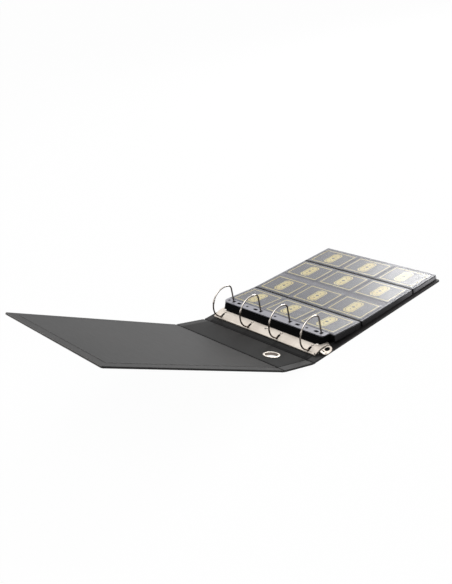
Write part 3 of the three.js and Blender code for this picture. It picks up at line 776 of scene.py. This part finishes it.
def housing():
    """The arched plate with its slots, stamped domes, neck and the ears for the lever's pin."""
    near, far, foot = HOUSING_LOW.y, HOUSING_HIGH.y, HOUSING_LOW.z
    shell = along_y(arch_profile(HOUSING_HALF, HOUSING_RADIUS, foot), near, far)
    inside = arch_profile(HOUSING_HALF - SHEET, HOUSING_RADIUS - SHEET, foot - 1)
    shell = carved(shell, along_y(inside, near - 1, far + 1))
    tools = []
    for side in (-1, 1):
        # Towards the legs the plate narrows to its neck, and the other corner is only cut off.
        deep, start, end = (NECK_HALF, 3.6, 9) if side > 0 else (HOUSING_HALF - END_CUT, 0, END_CUT + 2)
        edge, past = HOUSING_X + side * deep, HOUSING_X + side * (HOUSING_HALF + 2)
        outline = [(edge, near - 1), (edge, near + start), (past, near + end), (past, near - 1)]
        tools.append(prism(outline if side > 0 else outline[::-1], 0, CROWN + 5))
    for y in RINGS:
        heel_slot = slot(HEEL_SLOT[0], y - SLOT_HALF, HEEL_SLOT[1], y + SLOT_HALF)
        leg_slot = rounded(LEG_SLOT[0], y - SLOT_HALF, LEG_SLOT[1], y + SLOT_HALF, (1.2, 0, 0, 1.2))
        tools += [prism(outline, FOOT_Z - 0.5, 20) for outline in (heel_slot, leg_slot)]
    shell = carved(shell, *tools)
    ear_top = arch_height(NECK_HALF) - 0.5
    for side in (-1, 1):
        left, right = sorted((HOUSING_X + side * NECK_HALF, HOUSING_X + side * (NECK_HALF - SHEET)))
        ear = along_y([(left, foot), (right, foot), (right, ear_top), (left, ear_top)], near, near + 5)
        shell = carved(shell, ear, operation="UNION")
    cuts = [moved(prism(circle(0, 0, 1.35, 24), -40, 40), Matrix.Translation(PIN) @ ALONG_X)]
    for y in (near + RIVET_FROM_NEAR, far - RIVET_FROM_FAR):
        cuts.append(prism(circle(HOUSING_X, y, 1.9, 24), CROWN - 5, CROWN + 5))
    shell = carved(shell, *cuts)
    shell = softened(shell, 0.22, 2, 40)
    for face in shell.faces:
        # The underside of the arch is near-black steel: painted shade.
        face.material_index = 1 if face.normal.z < -0.2 else 0
    domes = [bump_on_arch(LEG_X - DOME_OFFSET, y, 2.2, 1.3) for y in RINGS]
    # Dark rings round the domes and the stud: painted shade.
    shade_rims = [painted(bump_on_arch(LEG_X - DOME_OFFSET, y, 2.9, 0.25), 1) for y in RINGS]
    low, high = box_mm("centre_stud")
    shade_rims.append(painted(bump_on_arch((low.x + high.x) / 2, (low.y + high.y) / 2, 3.2, 0.3), 1))
    piece(
        "arched_housing", joined(shell, *domes, *shade_rims), "back_cover", [PLATE, SHADE_STEEL],
        ["ring_housing"],
    )


def rivet(name, middle, seat, radius, height, shank, depth):
    """A domed rivet on the housing, with a turned rim."""
    turns = [math.radians(10 * i) for i in range(1, 9)]
    dome = [(radius * math.sin(a), seat + height * math.cos(a) ** 0.8) for a in turns]
    profile = [(0, seat + height), *dome, (radius, seat + 0.15), (radius - 0.12, seat), (shank, seat)]
    profile += [(shank, seat - depth), (0, seat - depth)]
    place = Matrix.Translation((middle.x, middle.y, 0))
    piece(name + "_dome", lathe(profile, 40, False), "back_cover", [BRIGHT], [name], place)


def fasteners():
    for name in ("near_rivet", "far_rivet"):
        low, high = box_mm(name)
        seat = CROWN + 0.3
        rivet(name, (low + high) / 2, seat, (high.x - low.x) / 2, high.z - seat, 1.6, seat - low.z)
    low, high = box_mm("centre_stud")
    rivet("centre_stud", (low + high) / 2, high.z - 0.9, (high.x - low.x) / 2, 0.9, 1.1, 2.4)
    pin = lathe([
        (0, -1), (0.6, -1), (0.9, -0.99), (1, -0.97), (1, 0.97), (0.9, 0.99), (0.6, 1), (0, 1),
    ], 32, False)
    half, radius = (PIN_HIGH.x - PIN_LOW.x) / 2, (PIN_HIGH.z - PIN_LOW.z) / 2
    turned = Matrix.Translation(PIN) @ ALONG_X @ Matrix.Diagonal((radius, radius, half, 1))
    piece("lever_hinge_pin", pin, "back_cover", [BRIGHT], ["lever_pin"], turned)
    # The carriers are near-black so the slots read dark: painted shade.
    repaint("left_carrier_plate", SHADE_STEEL)
    repaint("right_carrier_plate", SHADE_STEEL)


def arc(cx, cz, radius, start, stop, y, step=WIRE_STEP):
    count = max(2, round(abs(math.radians(stop - start)) * radius / step))
    angles = [math.radians(start + (stop - start) * i / count) for i in range(count + 1)]
    return [Vector((cx + radius * math.cos(a), y, cz + radius * math.sin(a))) for a in angles]


def bar_from_split(route):
    """A ring half's bar, from where the halves meet: a thicker collar, with a small step at its tip."""
    thicker, collar_end, fade, tip_step = 0.42, 4.6, 1.3, 0.18
    radii = [WIRE + thicker * smooth((collar_end - WIRE_STEP * k) / fade) for k in range(len(route))]
    radii.insert(1, radii[0])
    radii[0] -= tip_step
    route.insert(1, route[0].lerp(route[1], 0.15))
    return sweep(route, radii)


def ring_halves():
    """Each ring is a straight leg with a rounded corner and an arch, and a curved heel that meets it."""
    bend_x = LEG_X - BEND
    bend_z = ARCH_Z + math.sqrt((ARCH - BEND) ** 2 - (bend_x - ARCH_X) ** 2)
    bend_end = math.degrees(math.atan2(bend_z - ARCH_Z, bend_x - ARCH_X))
    gap, core = math.degrees(0.22 / ARCH), math.degrees(2.2 / ARCH)
    for i, y in enumerate(RINGS, 1):
        leg = [Vector((LEG_X, y, FOOT_Z + (bend_z - FOOT_Z) * k / 12)) for k in range(12)]
        leg += arc(bend_x, bend_z, BEND, 0, bend_end, y, 0.8)
        leg += arc(ARCH_X, ARCH_Z, ARCH, bend_end, SPLIT - gap, y)[1:]
        half = bar_from_split(leg[::-1])
        piece(f"ring_{i}_leg_half", half, "right_ring_bar", [CHROME], [f"ring_{i}_right"])
        heel = arc(ARCH_X, ARCH_Z, ARCH, SPLIT + gap, 180, y)
        heel += arc(ARCH_X - ARCH + HEEL, ARCH_Z, HEEL, 180, HEEL_END, y)[1:]
        end = heel[-1]
        foot = ((0.55, end.z - 0.5), (0.7, end.z - 1.2), (0.7, FOOT_Z))
        heel += [Vector((end.x + x, y, z)) for x, z in foot]
        tongue = arc(ARCH_X, ARCH_Z, ARCH, SPLIT - core / 2, SPLIT + core, y, 0.6)
        half = joined(bar_from_split(heel), sweep(tongue, [0.75] * len(tongue), 12))
        piece(f"ring_{i}_heel_half", half, "left_ring_bar", [CHROME], [f"ring_{i}_left"])


def lever():
    """The opening lever: an arched plate with a raised rim, a slot, an oval window and a curled lip."""
    near, neck_end, tail = LEVER_LOW.y + 0.6, HOUSING_LOW.y - 0.5, LEVER_HIGH.y
    half, neck, tip_round = (LEVER_HIGH.x - LEVER_LOW.x) / 2 - 0.6, 7, 6.5
    wide, centre = neck_end - 1.5, HOUSING_X
    neck_z, tip_z, dish = LEVER_HIGH.z, 5.6, 0.9
    right = [(neck, tail), (neck, neck_end), (half - 1.5, wide), (half, wide - 2), (half, near + tip_round)]
    for angle in [math.radians(9 * i) for i in range(1, 11)]:
        right.append((half * math.cos(angle), near + tip_round * (1 - math.sin(angle))))
    left = [(-x, y) for x, y in reversed(right[:-1])]

    def top_at(y):
        if y >= PIN.y + 1:
            return neck_z - smooth((y - PIN.y - 1) / (tail - PIN.y - 1))
        return neck_z + (tip_z - neck_z) * smooth((wide - y) / (wide - near)) ** 1.1 if y < wide else neck_z

    # A fine plate is cut to the outline, then shaped to its side profile.
    window = [(centre + 3 + 6 * x, near + 7.5 + 3.6 * y) for x, y in circle(0, 0, 1, 36)]
    plate = carved(
        prism([(centre + x, y) for x, y in right + left], -SHEET, 0),
        prism(window, -5, 5), prism(slot(centre - 8.0, neck_end - 7.6, centre - 5.4, neck_end - 2.4), -5, 5),
    )
    for k in range(1, 12):
        split(plate, (centre + half * (k / 6 - 1), 0, 0), (1, 0, 0))
    for k in range(1, 14):
        split(plate, (0, near + (tail - near) * k / 14, 0), (0, 1, 0))
    plate = softened(plate, 0.25, 2, 50)
    for vert in plate.verts:
        across = (vert.co.x - centre) / half
        toward = smooth((wide - vert.co.y) / 6)
        vert.co.z += top_at(vert.co.y) - dish * toward * (1 - abs(across) ** 3)
    bows = [(k, math.sin(math.pi * k / 8)) for k in range(9)]
    curl = [Vector((centre - 7.5 + 4.2 * k / 8, near + 3.2 - 0.8 * bow, tip_z + 0.55)) for k, bow in bows]
    lip = sweep(curl, [0.35 + 0.45 * bow for _, bow in bows], 12)
    sleeve = moved(
        lathe([(1.4, -1), (2.0, -1), (2.0, 1), (1.4, 1)], 28),
        Matrix.Translation(PIN) @ ALONG_X @ Matrix.Diagonal((1, 1, neck, 1)),
    )
    piece("lever_plate", joined(plate, lip, sleeve), "lever", [PLATE], ["opening_lever"])


def split(body, point, normal):
    """Adds a line of vertices across a mesh."""
    geometry = [*body.verts, *body.edges, *body.faces]
    bmesh.ops.bisect_plane(body, geom=geometry, plane_co=point, plane_no=normal)


# The leaves
def ring_holes(x, left, half, height):
    """Cutters for the rings' holes, about the legs' line at x: this far left of it and half this long."""
    return [
        prism(rounded(x - left, y - half, x + 4.6, y + half, (1.2,) * 4, 4), -height, height) for y in RINGS
    ]


def punched_holes(x, height):
    """Cutters for all the strip's holes: for the rings, and the long and round ones between them."""
    tools = ring_holes(x, 3.2, 3, height)
    long_holes = [slot(x - 3.1, RINGS[0] + y - 5.5, x + 3.1, RINGS[0] + y + 5.5) for y in SLOT_HOLES]
    round_holes = [circle(x, RINGS[0] + y, 2.7, 20) for y in ROUND_HOLES]
    return tools + [prism(outline, -height, height) for outline in long_holes + round_holes]


def strip(name, drop, right, rides, nodes):
    """A leaf's punched strip, with its long and round holes."""
    left = STRIP_EDGE - FOLD
    radii = (STRIP_NEAR_CORNER, 0, 0, STRIP_FAR_CORNER)
    outline = rounded(left, -HALF_LEAF + STRIP_STEP, right, HALF_LEAF, radii, 10)
    body = carved(prism(outline, 0, 0.5), *punched_holes(-FOLD, 9))
    # The strip's edges and underside are dull black: painted shade.
    for face in body.faces:
        face.material_index = 0 if face.normal.z > 0.5 else 1
    place = INNER @ Matrix.Translation((0, 0, -drop))
    piece(name + "_binding_strip", body, rides, [STRIP_SHEET, SLIT_SHADE], nodes, place)


def diamond(cx, cy, half_x, half_y, z0, z1):
    return prism([(cx + half_x, cy), (cx, cy + half_y), (cx - half_x, cy), (cx, cy - half_y)], z0, z1)


def plaque(cx, cy, half_x, half_y, notch, z0, z1):
    """A rectangle whose corners are hollowed out."""
    outline = []
    for sx, sy in ((-1, -1), (1, -1), (1, 1), (-1, 1)):
        points = []
        for angle in [math.radians(15 * i) for i in range(7)]:
            across, along = half_x - notch * math.cos(angle), half_y - notch * math.sin(angle)
            points.append((cx + sx * across, cy + sy * along))
        outline += points if sx * sy < 0 else points[::-1]
    return prism(outline, z0, z1)


def card_body(x, y, low, high):
    """A card with a gold frame line and a gold plaque, which has a dark line and a row of dark diamonds."""
    inset, line, notch, raised = 4.0, 2.0, 4.5, 0.02
    sunk, top = high - 0.05, high + raised

    def outline(inset, radius, steps=2):
        half_w, half_h = CARD[0] / 2 - inset, CARD[1] / 2 - inset
        return rounded(x - half_w, y - half_h, x + half_w, y + half_h, (radius,) * 4, steps)

    core = softened(prism(outline(0, 3, 6), low, high), 0.06, 1, 50)
    inside = prism(outline(inset + line, 0.3), low - 1, top + 1)
    border = carved(prism(outline(inset, 0.6), sunk, top), inside)
    medal = plaque(x, y, 21.5, 12, notch, sunk, top)
    inside = plaque(x, y, 18.3, 8.8, notch, high - 1, top + 1)
    dark = [carved(plaque(x, y, 19.2, 9.7, notch, high, top + raised), inside)]
    for offset, size in ((-9, 1.7), (0, 3.4), (9, 1.7)):
        dark.append(diamond(x + offset, y, size, 1.25 * size, high, top + raised))
    return joined(painted(core, 0), painted(joined(border, medal), 1), painted(joined(*dark), 0))


def film_body(x0, x1, columns, low, high):
    """Film over a stretch of pockets: raised over each card, welded down between the rows."""
    half_w, half_h, shoulder, thickness = POCKET[0] / 2, POCKET[1] / 2, 1.4, 0.3

    def stations(start, stop, middles, half):
        """The pockets' edges and shoulders, and places about 9 mm apart between them."""
        marks = {start, stop}
        for middle in middles:
            for side in (-1, 1):
                marks |= {middle + side * half, middle + side * (half - shoulder)}
        marks = sorted(mark for mark in marks if start <= mark <= stop)
        places = []
        for a, b in zip(marks, marks[1:]):
            count = max(1, round((b - a) / 9))
            places += [a + (b - a) * i / count for i in range(count)]
        return places + [stop]

    def lift(x, y):
        """How far the film is raised here, from 0 to 1. A pocket is open towards its mouth."""
        best = 0.0
        for middle, mouth in columns:
            for row in ROWS:
                in_x = 1 if (x - middle) * mouth > 0 else (half_w - abs(x - middle)) / shoulder
                in_y = (half_h - abs(y - row)) / shoulder
                best = max(best, min(smooth(in_x), smooth(in_y)))
        return best

    xs = stations(x0, x1, [x for x, _ in columns], half_w)
    ys = stations(-HALF_LEAF, HALF_LEAF, ROWS, half_h)
    body = bmesh.new()
    top, under = [], []
    for x in xs:
        heights = [low + thickness + (high - low - thickness) * lift(x, y) for y in ys]
        top.append([body.verts.new((x, y, z)) for y, z in zip(ys, heights)])
        under.append([body.verts.new((x, y, z - thickness)) for y, z in zip(ys, heights)])
    last_x, last_y = len(xs) - 1, len(ys) - 1
    for i in range(last_x):
        for k in range(last_y):
            welded = lift((xs[i] + xs[i + 1]) / 2, (ys[k] + ys[k + 1]) / 2) < 0.5
            for grid in (top, under):
                face = body.faces.new((grid[i][k], grid[i + 1][k], grid[i + 1][k + 1], grid[i][k + 1]))
                face.material_index = 1 if welded else 0
    rim = [(i, k, i + 1, k) for i in range(last_x) for k in (0, last_y)]
    rim += [(i, k, i, k + 1) for k in range(last_y) for i in (0, last_x)]
    for i, k, m, n in rim:
        body.faces.new((top[i][k], top[m][n], under[m][n], under[i][k]))
    return body


def sheet_body(x0, x1, slit):
    """A backing sheet, with a notch and a dark line where a slit crosses it: painted shade in the slit."""
    body = softened(prism(rounded(x0, -HALF_LEAF, x1, HALF_LEAF), 0, SHEET_HIGH), 0.1, 1, 50)
    if not slit:
        return body
    left, right, end = slit - SLIT_HALF, slit + SLIT_HALF, -HALF_LEAF + NOTCH
    notch = prism(rounded(left, -HALF_LEAF - 1, right, end), -1, 5)
    line = prism(rounded(left, end, right, HALF_LEAF), SHEET_HIGH - 0.05, SHEET_HIGH + 0.04)
    return joined(carved(body, notch), painted(line, 1))


def weld_dots(x0, x1, y, z):
    """A line of small weld dimples, as raised dots on the film."""
    pitch, profile = 2.4, [(0, 0.12), (0.4, 0.08), (0.62, 0.0), (0, -0.02)]
    places = [(x0 + pitch * (i + 0.5), y, z) for i in range(round((x1 - x0) / pitch))]
    return joined(*(moved(lathe(profile, 8, False), Matrix.Translation(place)) for place in places))


def page(prefix, drop, stack, inner_body, outer_body, first):
    """A pocket page: films, backing sheets and cards on the inner and the outer slope."""
    def nodes(name):
        return [f"leaf_1_{name}"] if first else ()

    inner = (INNER @ Matrix.Translation((0, 0, -drop)), inner_body)
    outer = (OUTER @ Matrix.Translation((0, 0, -drop)), outer_body)
    film_low, slit = SHEET_HIGH + FILM_GAP, SLIT_2 - SLIT_1
    column_1, columns = COLUMNS[0] - FOLD, [x - SLIT_1 for x in COLUMNS[1:]]
    stretches = (
        ("inner", inner, FOLD_GAP, INNER_END, [(column_1, 1)]),
        ("middle", outer, SLIT_HALF, slit - SLIT_HALF, [(columns[0], -1), (columns[1], 1)]),
        ("right", outer, slit + SLIT_HALF, OUTER_END, [(columns[2], -1)]),
    )
    for name, (matrix, rides), x0, x1, mouths in stretches:
        dots = [
            painted(weld_dots(x0 + 1, x1 - 1, y + side * 0.9, film_low + 0.3), 1)
            for y in (ROWS[0] / 2, ROWS[2] / 2) for side in (-1, 1)
        ]
        piece(
            f"{prefix}_{name}_pocket_film", joined(film_body(x0, x1, mouths, film_low, stack), *dots), rides,
            [FILM, WELDED], nodes(name + "_film"), matrix,
        )
    backings = (("inner", inner, FOLD_GAP, INNER_END, 0), ("outer", outer, SLIT_HALF, OUTER_END, slit))
    for name, (matrix, rides), x0, x1, crossing in backings:
        piece(
            f"{prefix}_{name}_backing_sheet", sheet_body(x0, x1, crossing), rides,
            [BACKING, SLIT_SHADE], nodes(name + "_backing"), matrix,
        )
    cards = [(column_1, inner), *((x, outer) for x in columns)]
    for number, (x, (matrix, rides)) in enumerate(cards, 1):
        for row, y in enumerate(ROWS, 1):
            piece(
                f"{prefix}_card_face_{row}_{number}", card_body(x, y, CARD_LOW, CARD_LOW + 0.38), rides,
                [CARD_FACE, GOLD], nodes(f"card_{row}_{number}"), matrix,
            )


def second_leaf():
    """The leaf below the first one, which shows when the first one is turned."""
    page("leaf_2", SECOND_DROP, SECOND_STACK, "back_cover", "back_cover", False)
    strip("leaf_2", SECOND_DROP, FOLD_GAP, "back_cover", ["leaf_2"])
    place = OUTER @ Matrix.Translation((0, 0, -SECOND_DROP))
    # A dark line under the slit: painted shade.
    line = prism(rounded(-2.2, -HALF_LEAF + NOTCH, SLIT_HALF + 0.3, HALF_LEAF), 0.02, LINE_HIGH)
    piece("leaf_2_slit_backing", line, "back_cover", [SLIT_SHADE], (), place)


def bridge(name, slope_a, slope_b, x_a, x_b, low, y0, paint):
    """Thin sheet that carries the first leaf across a line between two of its bodies."""
    end_a, end_b = (
        [slope @ Vector((x, 0, z)) for z in (low, LINE_HIGH)] for slope, x in ((slope_a, x_a), (slope_b, x_b))
    )
    rings = []
    for i in range(9):
        under, over = (a.lerp(b, i / 8) for a, b in zip(end_a, end_b))
        corners = ((under, y0), (over, y0), (over, HALF_LEAF), (under, HALF_LEAF))
        rings.append([(point.x, y, point.z) for point, y in corners])
    made = piece(name, skinned(rings), None, [paint])
    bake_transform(made)


def top_of_leaf(x):
    if x < SLIT_1:
        return SLIT_HEIGHT + (SLIT_1 - x) * math.tan(INNER_SLOPE)
    return SLIT_HEIGHT - (x - SLIT_1) * math.tan(OUTER_SLOPE)


def left_corner(end, side, radius, inset):
    """A cutter that rounds a leaf's left corner. side is -1 at the near end and 1 at the far end."""
    edge, inside = LEG_X + STRIP_EDGE + inset, end - side * radius
    near, far = sorted((inside, end + side * BEYOND))
    square = prism(rounded(edge - BEYOND, near, edge + radius, far), 0, TALL)
    return carved(square, prism(circle(edge + radius, inside, radius, 64), -1, TALL + 1))


def layered_leaf(name, under, over, lean_low, lean_high):
    """A filled leaf low in the pile, seen at its edges: backing, cards set back, and film with its slits."""
    def lean(share):
        return lean_low + (lean_high - lean_low) * share

    def level(share, inset):
        """The leaf's stations at this share of its height."""
        xs = (STRIP_EDGE + inset - lean(share), TOUCHDOWN, SLIT_1, LEAF_END - inset)
        return [(LEG_X + x, a + (b - a) * share) for x, a, b in zip(xs, under, over)]

    def layer(low, high, inset, index, slits):
        body = along_y(level(low, inset) + level(high, inset)[::-1], -HALF_LEAF + inset, HALF_LEAF - inset)
        near, left = -HALF_LEAF + STRIP_STEP + inset, LEG_X + STRIP_EDGE - PILE_LEAN - BEYOND
        step = rounded(left, -HALF_LEAF - BEYOND, LEG_X + FOLD - FOLD_GAP + inset, near, (0, 0, 2, 0))
        body = carved(body, *ring_holes(LEG_X, 2.4, 2.4, TALL), prism(step, 0, TALL))
        middle = lean((low + high) / 2)
        body = carved(body, left_corner(near, -1, STRIP_NEAR_CORNER, inset - middle))
        body = carved(body, left_corner(HALF_LEAF - inset, 1, STRIP_FAR_CORNER + middle, inset - middle))
        cuts = []
        for x in (LEG_X + SLIT_1, LEG_X + SLIT_2):
            end = HALF_LEAF + 1 if slits else -HALF_LEAF + NOTCH
            cuts.append(prism(rounded(x - SLIT_HALF, -HALF_LEAF - 1, x + SLIT_HALF, end), 0, TALL))
        body = painted(carved(body, *cuts), index)
        # The wall below the rings and the sides of the slits are dull black: painted shade.
        for face in body.faces:
            x = face.calc_center_median().x - LEG_X
            if x < FOLD or min(abs(x - SLIT_1), abs(x - SLIT_2)) < SLIT_HALF + 0.1:
                face.material_index = 3
        return body

    layers = layer(0, 0.3, 0, 2, False), layer(0.34, 0.66, 1.1, 1, False), layer(0.7, 1, 0.15, 2, True)
    paints = [POCKET_SHEET, CARD_FACE, LEAF_EDGE, SLIT_SHADE]
    piece(name + "_layers", joined(*layers), "back_cover", paints, [name])


def pile():
    """Leaves 3 to 6, which fill the space from the second leaf down to the lining."""
    gap, count, housing_room = 0.3, 4, 12.4
    over_pile = [top_of_leaf(x) - STACK - 0.02 - 2 * gap - SECOND_STACK for x in STATIONS]
    below_pile = [housing_room, LINING_HIGH + gap, LINING_HIGH + gap, LINING_HIGH + gap]
    for i in range(count):
        each = [(top - low - (count - 1) * gap) / count for top, low in zip(over_pile, below_pile)]
        over = [top - i * (thick + gap) for top, thick in zip(over_pile, each)]
        under = [top - thick for top, thick in zip(over, each)]
        layered_leaf(f"leaf_{i + 3}", under, over, PILE_LEAN * (i + 1) / count, PILE_LEAN * i / count)


case()
finger_ring()
housing()
fasteners()
ring_halves()
lever()
strip("leaf_1", 0, -FOLD_GAP, "leaf_strip", ["leaf_1_strip"])
page("leaf_1", 0, STACK, "leaf_inner", "leaf_outer", True)
bridge(
    "leaf_1_fold_line", INNER, INNER, -FOLD_GAP, FOLD_GAP, 0.05,
    -HALF_LEAF + STRIP_STEP, POCKET_SHEET,
)
# A dark strip under the first slit: painted shade.
bridge(
    "leaf_1_slit_backing", INNER, OUTER, INNER_END, SLIT_HALF, 0.02,
    -HALF_LEAF + NOTCH, SLIT_SHADE,
)
second_leaf()
pile()


# Floor, backdrop and light
def white_in_view(tree, amount, plain, white, output):
    """Camera, glossy and transmission rays see this much of a plain white, other rays the soft shader."""
    path = tree.node("ShaderNodeLightPath")
    total = path.outputs["Is Camera Ray"]
    for name in ("Is Glossy Ray", "Is Transmission Ray"):
        larger, other = tree.math("MAXIMUM", total)
        tree.links.new(path.outputs[name], other)
        total = larger.outputs["Value"]
    share, other = tree.math("MULTIPLY", total)
    other.default_value = amount
    mix = tree.node("ShaderNodeMixShader", share.outputs["Value"])
    for shader, socket in ((plain, mix.inputs[1]), (white, mix.inputs[2])):
        tree.links.new(shader.outputs[0], socket)
    tree.node(output, mix.outputs["Shader"])


def floor():
    """A pale floor that shows the camera its own white and keeps a soft shadow."""
    size, corners = 60, ((-1, -1), (1, -1), (1, 1), (-1, 1))
    data = bpy.data.meshes.new("floor")
    data.from_pydata([(size * x, size * y, 0) for x, y in corners], [], [(0, 1, 2, 3)])
    obj = linked("floor", data)
    obj.location.z = CAD_BOX[0].z - 0.0002
    material = bpy.data.materials.new("floor")
    tree = Tree(material)
    tree.nodes.clear()
    tint = tree.node("ShaderNodeValToRGB", tree.node("ShaderNodeTexNoise", Scale=30).outputs["Fac"])
    for element, value in zip(tint.color_ramp.elements, (0.86, 0.9)):
        element.color = (value, value, value, 1)
    paper = tree.node("ShaderNodeBsdfDiffuse", tint.outputs["Color"])
    white_in_view(tree, 0.975, paper, tree.node("ShaderNodeEmission"), "ShaderNodeOutputMaterial")
    data.materials.append(material)


def world():
    made = bpy.data.worlds.new("studio")
    tree = Tree(made)
    tree.nodes.clear()
    soft = tree.node("ShaderNodeBackground", Strength=0.55)
    white = tree.node("ShaderNodeBackground", Color=(1, 1, 1, 1))
    white_in_view(tree, 1.0, soft, white, "ShaderNodeOutputWorld")
    bpy.context.scene.world = made


def softbox(name, place, target, size, power):
    data = bpy.data.lights.new(name, "AREA")
    data.shape = "RECTANGLE"
    data.size, data.size_y = size
    data.energy = power
    turn = (Vector(target) - Vector(place)).to_track_quat("-Z", "Y").to_matrix().to_4x4()
    linked(name, data).matrix_world = Matrix.Translation(place) @ turn


floor()
world()
softbox("key", (-0.9, -0.6, 2.1), (0, 0, 0), (1.6, 1.6), 16)
softbox("sheen", (2.6, 1.12, 1.72), (0.05, 0, 0), (1.6, 1.2), 72)
softbox("rim", (-1.9, 1.6, 0.75), (-0.5, 0, 0.15), (1.2, 0.6), 8)
